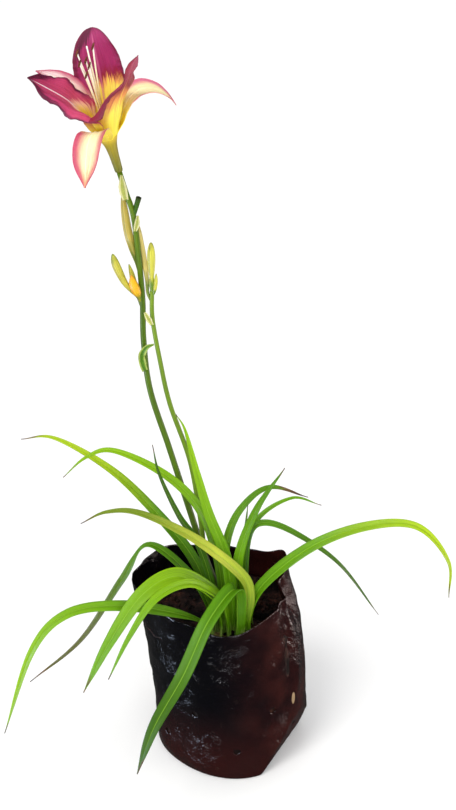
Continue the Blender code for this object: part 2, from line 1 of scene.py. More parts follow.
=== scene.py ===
# %% [markdown]
# # A potted daylily
# The object is a young daylily in bloom, growing in a soft black nursery bag of soil.
# The solids of the plant come in as a frame. Most of them are then covered by a finer piece:
# the same form, with the folds, veins, waves and colours that the solids leave out. The crown
# and the soil keep their solids, with finishes of their own.

import math
import random

import bmesh
import bpy
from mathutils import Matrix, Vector, noise


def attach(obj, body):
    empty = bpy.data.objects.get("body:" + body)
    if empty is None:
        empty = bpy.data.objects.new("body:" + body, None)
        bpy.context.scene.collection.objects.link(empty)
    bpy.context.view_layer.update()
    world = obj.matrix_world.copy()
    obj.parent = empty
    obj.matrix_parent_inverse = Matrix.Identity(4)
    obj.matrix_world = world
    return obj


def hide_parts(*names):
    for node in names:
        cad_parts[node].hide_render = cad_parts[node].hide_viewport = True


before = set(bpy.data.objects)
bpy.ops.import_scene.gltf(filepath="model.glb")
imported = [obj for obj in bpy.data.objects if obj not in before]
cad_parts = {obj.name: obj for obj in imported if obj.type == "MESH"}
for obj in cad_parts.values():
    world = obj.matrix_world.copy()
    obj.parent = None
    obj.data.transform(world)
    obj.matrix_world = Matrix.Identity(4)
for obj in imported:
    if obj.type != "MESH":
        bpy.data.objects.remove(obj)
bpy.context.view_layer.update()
MM = 0.001

# %% [markdown]
# ## The camera
# A photograph of a small plant is taken from an arm's length or a little more, from above.
# The angle could be guessed and tried, but it is better to work it out: the bag's base and mouth
# are two ovals of known size, and how round each looks gives the height and the distance.

# %% Camera
VIEW_FROM = Vector((-0.0036, -1.066, 0.845))
VIEW_DOWN = 26            # degrees below the horizon
VIEW_LENS = 66

camera_data = bpy.data.cameras.new("view")
camera_data.lens = VIEW_LENS
camera_data.sensor_width = 36
camera = bpy.data.objects.new("view", camera_data)
camera.location = VIEW_FROM
camera.rotation_euler = (math.radians(90 - VIEW_DOWN), 0, 0)
bpy.context.scene.collection.objects.link(camera)
bpy.context.scene.camera = camera
print("camera", VIEW_DOWN, "degrees down, lens", VIEW_LENS)

# %% [markdown]
# ## Finishes
# A finish is a small network of nodes. Wiring each one by hand makes long lists, so a helper
# adds one node per call and hands back what comes out of it. Patterns that follow a leaf or a
# petal read the piece's own UV map: U runs across it and V from its foot to its tip.

# %% A helper that builds finishes


def paint(red, green, blue):
    """A screen colour (0 to 255) as the linear colour that the shader works with."""
    channels = []
    for channel in (red, green, blue):
        share = channel / 255
        channels.append(share / 12.92 if share <= 0.04045 else ((share + 0.055) / 1.055) ** 2.4)
    return (*channels, 1)


class Finish:
    """A material under construction. Each method adds a node and returns its output."""

    def __init__(self, name, **constants):
        self.material = bpy.data.materials.new(name)
        self.material.use_nodes = True
        self.tree = self.material.node_tree
        self.shader = self.tree.nodes["Principled BSDF"]
        for socket, value in constants.items():
            self.shader.inputs[socket.replace("_", " ")].default_value = value

    def feed(self, socket, value):
        if isinstance(value, bpy.types.NodeSocket):
            self.tree.links.new(value, socket)
        else:
            socket.default_value = value

    def node(self, kind, inputs, output=0, **settings):
        made = self.tree.nodes.new("ShaderNode" + kind)
        for setting, value in settings.items():
            setattr(made, setting, value)
        for socket, value in inputs.items():
            self.feed(made.inputs[socket], value)
        return made.outputs[output]

    def place(self):
        """Where a point is on the object, in metres."""
        return self.node("TexCoord", {}, "Object")

    def surface(self):
        """Where a point is on its own surface: U across, V along."""
        return self.node("TexCoord", {}, "UV")

    def part(self, vector, axis):
        return self.node("SeparateXYZ", {0: vector}, axis)

    def across(self):
        """0 at one margin of the surface, 1 at the other."""
        return self.part(self.surface(), "X")

    def up(self):
        """0 at the surface's foot, 1 at its tip."""
        return self.part(self.surface(), "Y")

    def maths(self, operation, first, second=0.0):
        return self.node("Math", {0: first, 1: second}, operation=operation)

    def add(self, first, second):
        return self.maths("ADD", first, second)

    def times(self, first, second):
        return self.maths("MULTIPLY", first, second)

    def off(self, value, middle):
        """How far a value is from a middle one, either way."""
        return self.maths("ABSOLUTE", self.maths("SUBTRACT", value, middle))

    def stretch(self, vector, scale, shift=(0, 0, 0)):
        return self.node("Mapping", {"Vector": vector, "Scale": scale, "Location": shift})

    def cloud(self, vector, scale, detail=3.0, rough=0.5, twist=0.0):
        """Soft random shading between 0 and 1."""
        return self.node("TexNoise", {"Vector": vector, "Scale": scale, "Detail": detail,
                                      "Roughness": rough, "Distortion": twist})

    def grain(self, across, along_it, shift=(0, 0, 0), detail=3.0, rough=0.5):
        """Random shading that is drawn out on the surface, so many times finer each way."""
        drawn_out = self.stretch(self.surface(), (across, along_it, 1), shift)
        return self.cloud(drawn_out, 1.0, detail, rough)

    def band(self, value, low, high, to_low=0.0, to_high=1.0):
        """A smooth rise from to_low to to_high as value goes from low to high."""
        return self.node("MapRange", {"Value": value, "From Min": low, "From Max": high,
                                      "To Min": to_low, "To Max": to_high},
                         interpolation_type="SMOOTHSTEP")

    def vary(self, pattern, low, high):
        """A value between low and high that follows a cloud or a grain."""
        return self.band(pattern, 0.3, 0.7, low, high)

    def uneven(self, value, pattern, by, low=0.3):
        """A value that a pattern moves up and down, so that no edge made from it is even."""
        return self.add(value, self.band(pattern, low, 1 - low, -by, by))

    def ramp(self, value, stops):
        """A run of colours: stops are (place, colour) pairs."""
        result = self.node("ValToRGB", {"Fac": value})
        colours = result.node.color_ramp.elements
        while len(colours) < len(stops):
            colours.new(0.5)
        # A ramp sorts its stops as they move, so they all have their places before any colour.
        for element, (at, colour) in zip(colours, stops):
            element.position = at
        for element, (at, colour) in zip(colours, stops):
            element.color = paint(*colour)
        return result

    def blend(self, amount, first, second, way="MIX"):
        made = self.tree.nodes.new("ShaderNodeMix")
        made.data_type = "RGBA"
        made.blend_type = way
        self.feed(made.inputs["Factor"], amount)
        self.feed(made.inputs[6], first)
        self.feed(made.inputs[7], second)
        return made.outputs[2]

    def darken(self, colour, pattern, low, high, most, shade):
        """Multiply a shade in, up to most, as the pattern goes from low to high."""
        return self.blend(self.band(pattern, low, high, 0.0, most), colour, paint(*shade), "MULTIPLY")

    def lighten(self, colour, pattern, low, high, most, tint):
        """Bring a light tint out, up to most, as the pattern goes from low to high."""
        return self.blend(self.band(pattern, low, high, 0.0, most), colour, paint(*tint), "SOFT_LIGHT")

    def show(self, colour, roughness, height=None, depth=0.0002, strength=1.0):
        """Connect the finished colour, roughness and relief to the shader."""
        self.feed(self.shader.inputs["Base Color"], colour)
        self.feed(self.shader.inputs["Roughness"], roughness)
        if height is not None:
            relief = self.node("Bump", {"Height": height, "Distance": depth, "Strength": strength})
            self.feed(self.shader.inputs["Normal"], relief)
        return self.material


print("finish helper ready")

# %% [markdown]
# Leaves and petals are thin and full of water, so a little light goes into them and comes out
# again nearby. Without it they look like painted metal. A real depth in millimetres and a colour
# for the light that comes back are enough, and each kind of tissue has its own.

# %% A finish for living tissue


def living(name, gloss, light_in, glow, depth):
    """A finish that some light goes into, and leaves again in the glow's colour."""
    return Finish(name, Specular_IOR_Level=gloss, Subsurface_Weight=light_in,
                  Subsurface_Radius=glow, Subsurface_Scale=depth * MM)


GREEN_GLOW = (0.6, 1.0, 0.2)
YELLOW_GLOW = (1.0, 0.8, 0.2)
BRACT_GLOW = (1.0, 1.0, 0.4)
THREAD_GLOW = (1.0, 0.9, 0.5)
PETAL_GLOW = (1.0, 0.5, 0.35)
print("tissue glows green", GREEN_GLOW, "or yellow", YELLOW_GLOW)

# %% [markdown]
# ## Shaping helpers
# Leaves, stems, petals and even the bag are all one idea: a flat grid that is bent into place.
# They could be lofted from curves, but a grid keeps its UV map, so the veins and colours can
# follow the surface. A rule says where each point of the grid goes, and a tube is a grid whose
# two long edges meet.

# %% Smooth curves


def smooth_step(x):
    x = min(1.0, max(0.0, x))
    return x * x * (3 - 2 * x)


def along(values, share):
    """A smooth curve through evenly spaced values, read at share 0 to 1."""
    last = len(values) - 1
    place_in = min(max(share, 0.0), 1.0) * last
    i = min(int(place_in), last - 1)
    u = place_in - i
    p1, p2 = values[i], values[i + 1]
    p0 = values[i - 1] if i > 0 else p1 * 2 - p2
    p3 = values[i + 2] if i + 2 <= last else p2 * 2 - p1
    return (p1 * 2 + (p2 - p0) * u + (p0 * 2 - p1 * 5 + p2 * 4 - p3) * u ** 2
            + (p1 * 3 - p0 - p2 * 3 + p3) * u ** 3) * 0.5


def even_path(points, count):
    """Points evenly spaced along the smooth curve through a few points."""
    fine = [along(points, i / 400) for i in range(401)]
    lengths = [0.0]
    for a, b in zip(fine, fine[1:]):
        lengths.append(lengths[-1] + (b - a).length)
    result, j = [], 0
    for i in range(count + 1):
        wanted = lengths[-1] * i / count
        while j < 399 and lengths[j + 1] < wanted:
            j += 1
        part = (wanted - lengths[j]) / max(lengths[j + 1] - lengths[j], 1e-9)
        result.append(fine[j].lerp(fine[j + 1], part))
    return result


def directions(points):
    """The direction of travel at each point of a path."""
    ahead = points[1:] + points[-1:]
    behind = points[:1] + points[:-1]
    return [(b - a).normalized() for a, b in zip(behind, ahead)]


print("halfway along 0, 1, 4 a smooth curve reads", along([0.0, 1.0, 4.0], 0.5))

# %% Bend a grid
WELD = 0.001 * MM


def bend_grid(columns, rows, spot, closed=False):
    """A grid of columns by rows, with spot(u, v) as the place of each of its points."""
    mesh_data = bmesh.new()
    pattern = mesh_data.loops.layers.uv.new("UVMap")
    bmesh.ops.create_grid(mesh_data, x_segments=columns, y_segments=rows, size=0.5)
    for face in mesh_data.faces:
        face.smooth = True
        for loop in face.loops:
            loop[pattern].uv = (loop.vert.co.x + 0.5, loop.vert.co.y + 0.5)
    for vert in mesh_data.verts:
        vert.co = spot(vert.co.x + 0.5, vert.co.y + 0.5)
    if closed:
        bmesh.ops.remove_doubles(mesh_data, verts=mesh_data.verts, dist=WELD)
        bmesh.ops.recalc_face_normals(mesh_data, faces=mesh_data.faces)
    return mesh_data


# %% Turn a bmesh into a piece


def settle(name, mesh_data, finishes, stands_for=()):
    """Turn a bmesh into a piece of the plant that covers its CAD nodes."""
    mesh = bpy.data.meshes.new(name)
    mesh_data.to_mesh(mesh)
    mesh_data.free()
    for finish in finishes:
        mesh.materials.append(finish)
    piece = bpy.data.objects.new(name, mesh)
    bpy.context.scene.collection.objects.link(piece)
    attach(piece, "root")
    if stands_for:
        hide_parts(*stands_for)
    print(name, len(mesh.polygons), "faces")
    return piece


def thicken(piece, wall, offset=0.0, back=0):
    """Give a sheet its thickness; back=1 puts the second finish on its back."""
    solidify = piece.modifiers.new("thickness", "SOLIDIFY")
    solidify.thickness = wall
    solidify.offset = offset
    solidify.material_offset = back
    return piece


# %% [markdown]
# ## The bag's form
# The bag is a sleeve of thin black film with a folded foot. Filled with soil it stands like a
# soft barrel: slumped to the left at the mouth, squashed from front to back, and pressed flat at
# its lower right, where the folded gusset shows. A cloth simulation could fold the film, but it
# would not fold it where the photograph shows, so the film is a grid with written folds: broad
# creases, and a random crumple that grows where no soil presses the film out.

# %% The film's own shape
BAG_RADIUS = 65 * MM
BAG_FOOT_RADIUS = 62.5 * MM
BAG_FOOT_SPREAD = 1.5 * MM
BAG_FOOT_CORNERS = 2.5 * MM
BAG_CORNER_HEIGHT = 16 * MM
BAG_FLARE = 4 * MM
BAG_LEAN = 14 * MM
BAG_SQUASH = 0.10
BAG_RIM = 159 * MM
FLAT_BEARING = math.radians(-26)
FLAT_LEAN = math.radians(22)
FLAT_DISTANCE = 44.7 * MM
COLLAR_FOLD = 14 * MM     # the collar is folded in this far at its right
COLLAR_FOLD_BEARING = -8
COLLAR_FOLD_START = 118 * MM
GUSSET_FOLD = -30         # the bearing of the gusset's upright crease
GUSSET_FOLD_START = 55 * MM
FREE_FROM = 118 * MM      # above this no soil presses the film out
RIM_PEAKS = [(278, 22, -11), (28, 16, 10), (130, 20, 6)]    # bearing, half width, rise
SOIL_TOP = 130 * MM


def degrees_from(turn, bearing):
    """How far a turn (radians) is from a bearing (degrees), from -180 to 180 degrees."""
    return (math.degrees(turn) - bearing + 180) % 360 - 180


def bag_spot(turn, height, outset=0.0):
    """Where the film is at a turn round the bag (0 to the right) and a height."""
    rise = height / BAG_RIM
    low = min(1.0, height / BAG_CORNER_HEIGHT)
    foot = BAG_FOOT_RADIUS - BAG_FOOT_SPREAD * math.cos(turn)
    foot += BAG_FOOT_CORNERS * math.cos(3 * (turn - math.radians(285)))
    radius = foot + (BAG_RADIUS - foot) * (1 - (1 - low) ** 2)
    radius += BAG_FLARE * rise
    bulges = 0.9 * math.cos(5 * turn + 1.3 + 2.2 * rise) + 0.5 * math.cos(9 * turn - 3 * rise)
    radius += low * MM * bulges
    facing = math.cos(turn - FLAT_BEARING) * math.cos(FLAT_LEAN)
    if facing > 0.3:
        radius = min(radius, (FLAT_DISTANCE + height * math.sin(FLAT_LEAN)) / facing)
    folded = math.exp(-(degrees_from(turn, COLLAR_FOLD_BEARING) / 22) ** 2)
    radius += outset - COLLAR_FOLD * folded * smooth_step((height - COLLAR_FOLD_START) / (35 * MM))
    x = radius * math.cos(turn) - BAG_LEAN * rise ** 2
    y = radius * math.sin(turn) * (1 - BAG_SQUASH * rise)
    return Vector((x, y, height))


def rim_height(turn):
    """The cut edge of the film: a dip at the front, and a peak at each side of the back."""
    height = BAG_RIM + 3 * MM * math.cos(2 * turn)
    for bearing, spread, rise in RIM_PEAKS:
        height += rise * MM * math.exp(-(degrees_from(turn, bearing) / spread) ** 2)
    return height


print("mouth of the bag reaches from", bag_spot(math.pi, BAG_RIM).x, "to", bag_spot(0, BAG_RIM).x)

# %% The film's creases


def ridge(spot, scale):
    """Sharp little ridges with smooth hollows between them, from -1 to 1."""
    return 1 - 4 * abs(noise.noise(spot * scale))


def crumple(turn, height):
    """How far the film stands out from its smooth shape, in metres."""
    around = Vector((math.cos(turn), math.sin(turn), 0)) * BAG_RADIUS
    spot = around + Vector((0, 0, height))
    warp = Vector((noise.noise(spot * 22), noise.noise(spot * 22 + Vector((5, 0, 0))), 0)) * 12 * MM
    spot = spot + Vector((warp.x, warp.x, warp.y))
    tall = Vector((spot.x, spot.y, spot.z * 0.35))
    free = smooth_step((height - FREE_FROM) / (30 * MM))
    creases = 0.55 * ridge(tall, 38) * (0.5 + 1.6 * free)
    dents = 0.35 * ridge(spot + Vector((0.3, 0.1, 0.7)), 60)
    waves = 0.9 * noise.noise(spot * 30) + 1.6 * free * noise.noise(tall * 34 + Vector((3, 1, 4)))
    from_fold = degrees_from(turn, GUSSET_FOLD + 40 * (height - 90 * MM)) + 1.5 * noise.noise(tall * 60)
    fold = 2.6 * max(0, 1 - abs(from_fold) / 5) - 2.2 * max(0, 1 - abs(from_fold + 9) / 7)
    fold *= smooth_step((height - GUSSET_FOLD_START) / (50 * MM))
    return MM * (creases + dents + waves + fold) * smooth_step(height / (10 * MM))


print("the film stands out", crumple(0, BAG_RIM), "m at the right of its rim")

# %% The bag, one bent grid
BAG_SIDES = 240
BAG_ROWS = 124
BASE_SHARE = 0.10         # the share of the grid's rows that makes the base
FILM = 0.45 * MM


def film_spot(u, v):
    turn = 2 * math.pi * u
    if v < BASE_SHARE:
        out = v / BASE_SHARE
        foot = bag_spot(turn, 0)
        puckers = 0.0 if out < 0.2 else 0.25 * MM * (1 + noise.noise(foot * out * 90))
        return Vector((foot.x * out, foot.y * out, puckers * (1 - out)))
    share = (v - BASE_SHARE) / (1 - BASE_SHARE)
    height = share * rim_height(turn)
    fold_in = 1.5 * MM * smooth_step((share - 0.94) / 0.06) * noise.noise(Vector((3 * turn, 2, 0)))
    return bag_spot(turn, height, crumple(turn, height) + fold_in)


film = bend_grid(BAG_SIDES, BAG_ROWS, film_spot, closed=True)
print("film grid", len(film.verts), "points")

# %% [markdown]
# Nursery bags have punched drain holes. A Boolean would cut them, but on so fine a mesh it is
# slow. It is enough to pull the nearest points onto the hole's edge and to delete the faces
# inside, as a punch does.

# %% Punch the drain holes
DRAIN_RADIUS = 3 * MM
DRAIN_LEVELS = [30 * MM, 64 * MM]
DRAINS_IN_ROW = 6
FIRST_DRAIN = -26         # bearings, in degrees
DRAIN_SPACING = 60
DRAIN_ROW_SHIFT = 30


def punch(mesh_data, centre, radius):
    near = [vert for vert in mesh_data.verts if (vert.co - centre).length < radius * 1.35]
    for vert in near:
        away = vert.co - centre
        if abs(away.length - radius) < radius * 0.3:
            vert.co = centre + away.normalized() * radius
    inside = [face for face in mesh_data.faces
              if (face.calc_center_median() - centre).length < radius * 0.93]
    bmesh.ops.delete(mesh_data, geom=inside, context="FACES")


for row, level in enumerate(DRAIN_LEVELS):
    for i in range(DRAINS_IN_ROW):
        drain_turn = math.radians(FIRST_DRAIN + DRAIN_ROW_SHIFT * row + DRAIN_SPACING * i)
        punch(film, bag_spot(drain_turn, level, crumple(drain_turn, level)), DRAIN_RADIUS)
print("drain holes punched:", len(DRAIN_LEVELS) * DRAINS_IN_ROW)

# %% [markdown]
# The film is black polythene: glossy, scratched and crinkled, so it shows as hard little
# highlights on a near-black ground. On the right and low down it is red-brown: partly the wet
# soil seen through the thin film, partly a painted warm reflection. The crinkles are relief in
# the finish, since they are finer than the grid. They are deep in the few places where the film
# was crushed and faint elsewhere. Dust breaks up the gloss, and a small tear at the lower right
# shows pale.

# %% The film's finish
CRUSHED_PLACES = [        # where, and how far it reaches, in millimetres
    (-47, -50, 112, 26), (-44, -50, 80, 28), (0, -61, 126, 22), (54, -28, 116, 26),
    (50, 10, 140, 26), (60, 10, 84, 26), (-30, -56, 30, 28), (40, -48, 40, 18),
]
TEAR_PLACE = (52, -38, 66)
TEAR_SQUEEZE = (1, 1, 0.36)       # the tear is taller than it is wide
FILM_BLACK, FILM_BROWN_AND_REFLECTION = (2, 2, 6), (62, 21, 16)
TEAR_PALE, DUST = (158, 132, 100), (96, 66, 52)


def film_colour(finish, spot, blotch, dust):
    # Red-brown to the right and low down: partly soil seen through the film, partly a painted warm
    # reflection.
    to_right = finish.band(finish.part(spot, "X"), -20 * MM, 60 * MM)
    to_right = finish.times(to_right, finish.band(blotch, 0.30, 0.75, 0.2, 1.0))
    lower = finish.band(finish.part(spot, "Z"), 80 * MM, 10 * MM, 0.0, 0.42)
    brown = finish.maths("MAXIMUM", to_right, lower)
    colour = finish.blend(brown, paint(*FILM_BLACK), paint(*FILM_BROWN_AND_REFLECTION))
    tear_shift = [-place * MM * squeeze for place, squeeze in zip(TEAR_PLACE, TEAR_SQUEEZE)]
    from_tear = finish.stretch(spot, TEAR_SQUEEZE, tear_shift)
    from_tear = finish.node("VectorMath", {0: from_tear}, "Value", operation="LENGTH")
    tear = finish.band(finish.uneven(from_tear, blotch, 0.4 * MM), 2.2 * MM, 1.6 * MM)
    colour = finish.blend(tear, colour, paint(*TEAR_PALE))
    return finish.blend(finish.times(dust, 0.16), colour, paint(*DUST))


def film_relief(finish, spot):
    crinkle = finish.cloud(finish.stretch(spot, (1, 1, 0.6)), 95, detail=5, rough=0.60, twist=1.2)
    pleats = finish.cloud(finish.stretch(spot, (1, 1, 0.16)), 190, detail=3, rough=0.5, twist=0.4)
    edge = finish.band(finish.cloud(spot, 60, detail=3), 0.35, 0.65, -6 * MM, 6 * MM)
    crushed = 0.3
    for x, y, z, reach in CRUSHED_PLACES:
        middle = (x * MM, y * MM, z * MM)
        away = finish.node("VectorMath", {0: spot, 1: middle}, "Value", operation="DISTANCE")
        patch = finish.band(finish.add(away, edge), reach * MM, 0.5 * reach * MM)
        crushed = finish.maths("MAXIMUM", crushed, patch)
    sharp = finish.times(finish.off(crinkle, 0.5), -3.0)
    upright = finish.times(finish.off(pleats, 0.5), -1.4)
    return finish.times(finish.add(sharp, upright), crushed)


def film_finish():
    finish = Finish("black_film", IOR=1.5, Specular_IOR_Level=0.55)
    spot = finish.place()
    blotch = finish.cloud(spot, 28, detail=4)
    dust = finish.band(finish.cloud(spot, 130, detail=6, rough=0.7), 0.60, 0.85)
    gloss = finish.add(finish.vary(blotch, 0.12, 0.24), finish.times(dust, 0.3))
    colour = film_colour(finish, spot, blotch, dust)
    return finish.show(colour, gloss, film_relief(finish, spot), depth=1.8 * MM, strength=0.9)


BLACK_FILM = film_finish()
bag = settle("bag_film", film, [BLACK_FILM], ["grow_bag"])
thicken(bag, FILM, offset=-1)

# %% [markdown]
# ## Soil
# The potting soil is a reddish-brown, crumbly mix. Its surface is one rough sheet, lower at the
# film, and it is not convincing without loose crumbs, so some hundreds of dented pebbles are
# scattered over it. Each crumb has few faces, because there are so many.

# %% The soil's finish


def soil_finish():
    finish = Finish("wet_soil", Specular_IOR_Level=0.25)
    spot = finish.place()
    lumps = finish.cloud(spot, 160, detail=6, rough=0.7)
    tint = finish.cloud(spot, 45, detail=3)
    colour = finish.ramp(lumps, [(0.30, (12, 6, 5)), (0.50, (40, 20, 15)), (0.64, (78, 40, 27)),
                                 (0.80, (128, 76, 50))])
    colour = finish.darken(colour, tint, 0.40, 0.65, 1.0, (58, 34, 26))
    grit = finish.cloud(spot, 600, detail=4, rough=0.7)
    height = finish.add(lumps, finish.times(grit, 0.5))
    return finish.show(colour, finish.vary(lumps, 0.95, 0.75), height, depth=1.2 * MM)


WET_SOIL = soil_finish()
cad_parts["soil"].material_slots[0].material = WET_SOIL

# %% The soil's surface
CROWN_AT = Vector((-1 * MM, -28 * MM, 0))
SOIL_SIDES = 150
SOIL_ROWS = 54
SOIL_SHEET = 1.2 * MM
SOIL_TUCK = 4 * MM        # the sheet's edge is turned down this far along the film


def soil_level(spot):
    x, y = spot.x / MM, spot.y / MM
    waves = math.sin(0.21 * x + 1.1) * math.cos(0.17 * y) + 0.5 * math.sin(0.37 * x - 0.29 * y)
    flat = Vector((spot.x, spot.y, 0))
    rough = 1.6 * noise.noise(flat * 90) + 0.9 * noise.noise(flat * 240) + 0.5 * noise.noise(flat * 600)
    return SOIL_TOP + MM * (1.4 + 1.2 * waves + rough)


def soil_spot(u, v):
    edge = bag_spot(2 * math.pi * u, SOIL_TOP, -0.3 * MM)
    spot = edge.lerp(Vector((CROWN_AT.x, CROWN_AT.y, SOIL_TOP)), v)
    spot.z = soil_level(spot) - SOIL_TUCK * (1 - smooth_step(v / 0.06))
    return spot


surface = bend_grid(SOIL_SIDES, SOIL_ROWS, soil_spot, closed=True)
soil_surface = settle("soil_surface", surface, [WET_SOIL])
thicken(soil_surface, SOIL_SHEET, offset=-1)

# %% Loose crumbs of soil
CRUMBS = 620
CRUMB_LEAST, CRUMB_SPREAD = 0.8, 2.4      # radii in millimetres: most are small, a few are large
chance = random.Random(11)
crumbs = bmesh.new()
for i in range(CRUMBS):
    turn = chance.uniform(0, 2 * math.pi)
    out = math.sqrt(chance.uniform(0.02, 0.90))
    edge = bag_spot(turn, SOIL_TOP, -4 * MM)
    middle = Vector((edge.x * out, edge.y * out, 0))
    size = MM * (CRUMB_LEAST + CRUMB_SPREAD * chance.random() ** 3)
    middle.z = soil_level(middle) + size * 0.35
    made = bmesh.ops.create_icosphere(crumbs, subdivisions=1, radius=size)
    dent = Vector([chance.uniform(0.6, 1.1) for axis in range(3)])
    for vert in made["verts"]:
        bump = 1 + 0.35 * noise.noise(vert.co * 700 + Vector((i, 0, 0)))
        vert.co = middle + Vector(a * b for a, b in zip(vert.co, dent)) * bump
settle("soil_crumbs", crumbs, [WET_SOIL])

# %% [markdown]
# ## Leaves
# A daylily leaf is a long strap with a keel: folded in a V where it leaves the crown, opening
# flatter along its length, drawn out to a point. The solids have that form in a few facets. Here
# each leaf is a finer grid along the same line, with an arched half on each side of the keel, a
# slow wave in its margins and a tip that dries and curls.

# %% The line and the blade of a leaf
LEAF_FOOT = 129 * MM      # the feet stand in the crown, whose top is at 131
LEAF_ROWS = 110
LEAF_COLUMNS = 14
LEAF_THICKNESS = 0.6 * MM
BASE_FOLD = 0.85
TIP_FOLD = 0.25
LEAF_WAVE = 0.20          # how much the margins roll


def leaf_half_width(share, widest, pinch, blunt):
    """pinch is where along the leaf it is drawn in, over what share of it, and how much.

    A higher value of blunt keeps the leaf wide for longer.
    """
    swell = 0.78 + 0.22 * smooth_step(share / 0.3)
    taper = (1 - share ** blunt) ** 0.85
    at, spread, drop = pinch
    drawn_in = 1 - drop * math.exp(-((share - at) / spread) ** 2)
    return max(widest / 2 * swell * taper * drawn_in, 0.25 * MM)


def leaf_frames(foot, heading, arch, lean):
    """Points along a leaf's keel, each with its side direction and its upper face's direction."""
    angle = math.radians(heading)
    out = Vector((math.cos(angle), math.sin(angle), 0))
    base = Vector((foot[0] * MM, foot[1] * MM, LEAF_FOOT))
    points = [base]
    for reach, height in arch:
        points.append(Vector((base.x, base.y, SOIL_TOP + height * MM)) + out * reach * MM)
    keel = even_path(points, LEAF_ROWS)
    turn_to_front = 1 if out.x >= 0 else -1
    side = Vector((-out.y, out.x, 0))
    frames = []
    for i, (spot, ahead) in enumerate(zip(keel, directions(keel))):
        share = i / LEAF_ROWS
        face = ahead.cross(side).normalized()
        roll = math.radians(along([float(value) for value in lean], share)) * turn_to_front
        frames.append((
            spot,
            side * math.cos(roll) + face * math.sin(roll),
            face * math.cos(roll) - side * math.sin(roll),
        ))
    return frames


def leaf_mesh(frames, widest, seed, curl, pinch, blunt):
    """The blade: curl is how far its dry tip twists, in degrees."""

    def spot(u, v):
        point, side, face = frames[round(v * LEAF_ROWS)]
        across = 2 * u - 1
        half = leaf_half_width(v, widest * MM, pinch, blunt)
        fold = BASE_FOLD + (TIP_FOLD - BASE_FOLD) * smooth_step(v / 0.5)
        keel = (math.sqrt(across ** 2 + 0.012) - 0.11) * fold
        arched = 0.07 * math.sin(math.pi * min(abs(across), 1))
        roll = noise.noise(Vector((7 * v + seed, 3 if across > 0 else -3, seed)))
        margin = LEAF_WAVE * roll * abs(across) ** 2 * smooth_step(v / 0.2)
        twist = math.radians(curl) * smooth_step((v - 0.88) / 0.12)
        lateral, rise = half * across, half * (keel + arched + margin)
        lateral, rise = (lateral * math.cos(twist) - rise * math.sin(twist),
                         lateral * math.sin(twist) + rise * math.cos(twist))
        return point + side * lateral + face * rise

    return bend_grid(LEAF_COLUMNS, LEAF_ROWS, spot)


# %% [markdown]
# A leaf's colour runs along it: pale where it is sheathed at the crown, darker green above,
# on most leaves brightest where the arch faces the sky, which is a painted highlight, and brown
# at the dry tip. Parallel veins run the whole way. One green with some noise would be simpler,
# but then no leaf would stand out from the next, so each leaf has its own run of colours, read
# off its UV map.

# %% A leaf's finish
PALE_FOOT = (158, 186, 92)
KEEL = (150, 196, 60)
DRY = (120, 82, 44)
DRY_DARK = (58, 38, 26)


def leaf_finish(name, low, middle, high, dry_from, seed):
    """The green runs from low through middle to high, and dries from dry_from on."""
    finish = living(name + "_green", 0.22, 0.12, GREEN_GLOW, 0.6)
    across, up = finish.across(), finish.up()
    patchy = finish.grain(2.5, 9, (seed, 0, seed), detail=4, rough=0.6)
    # The high green, lighter on most leaves, is a painted highlight where the arch faces the sky.
    colour = finish.ramp(finish.uneven(up, patchy, 0.035), [
        (0.0, PALE_FOOT), (0.07, low), (0.42, middle), (max(dry_from - 0.16, 0.5), high),
        (dry_from, high), (min(dry_from + 0.035, 0.97), DRY), (1.0, DRY_DARK),
    ])
    veins = finish.grain(70, 1.6, (seed, 3, 0), detail=2)
    colour = finish.darken(colour, veins, 0.35, 0.70, 0.50, (60, 96, 10))
    colour = finish.lighten(colour, veins, 0.45, 0.25, 0.45, (226, 236, 120))
    on_keel = finish.band(finish.off(across, 0.5), 0.045, 0.012)
    on_keel = finish.times(on_keel, finish.band(up, 0.97, 0.80))
    colour = finish.blend(finish.times(on_keel, 0.55), colour, paint(*KEEL))
    height = finish.maths("SUBTRACT", finish.times(veins, 0.8), on_keel)
    rough = finish.vary(patchy, 0.34, 0.52)
    return finish.show(colour, rough, height, depth=0.25 * MM, strength=0.8)

# %% [markdown]
# Leaves scattered by chance would be quick to make, and would look like any plant. Here every
# leaf that can be told apart has a call of its own: where its foot stands on the crown, which
# way it heads, a few places along its arch, its width, and its three greens from foot to tip.

# %% Every leaf: where it stands, how it arches, and its greens
LIME, BRIGHT, FRESH = (176, 204, 26), (142, 188, 8), (110, 164, 6)
MID, DEEP, SHADE = (86, 140, 3), (60, 104, 3), (42, 76, 4)
YELLOW, OLIVE, BUFF = (192, 200, 62), (124, 146, 36), (96, 96, 40)


def leaf(place, foot, heading, arch, width, greens, lean=(75, 50, 35), dry_from=0.94,
         curl=40, pinch=(0, 1, 0), blunt=2.4):
    """Make one leaf. arch is a list of reaches and heights, in millimetres from its foot.

    lean is how far the blade is turned to the front along its length, in degrees.
    """
    name = "leaf_" + place
    seed = (sum(ord(letter) for letter in name) % 89) + 0.37
    frames = leaf_frames(foot, heading, arch, lean)
    finish = leaf_finish(name, *greens, dry_from, seed)
    blade = leaf_mesh(frames, width, seed, curl, pinch, blunt)
    piece = settle(name + "_blade", blade, [finish], [name])
    return thicken(piece, LEAF_THICKNESS)


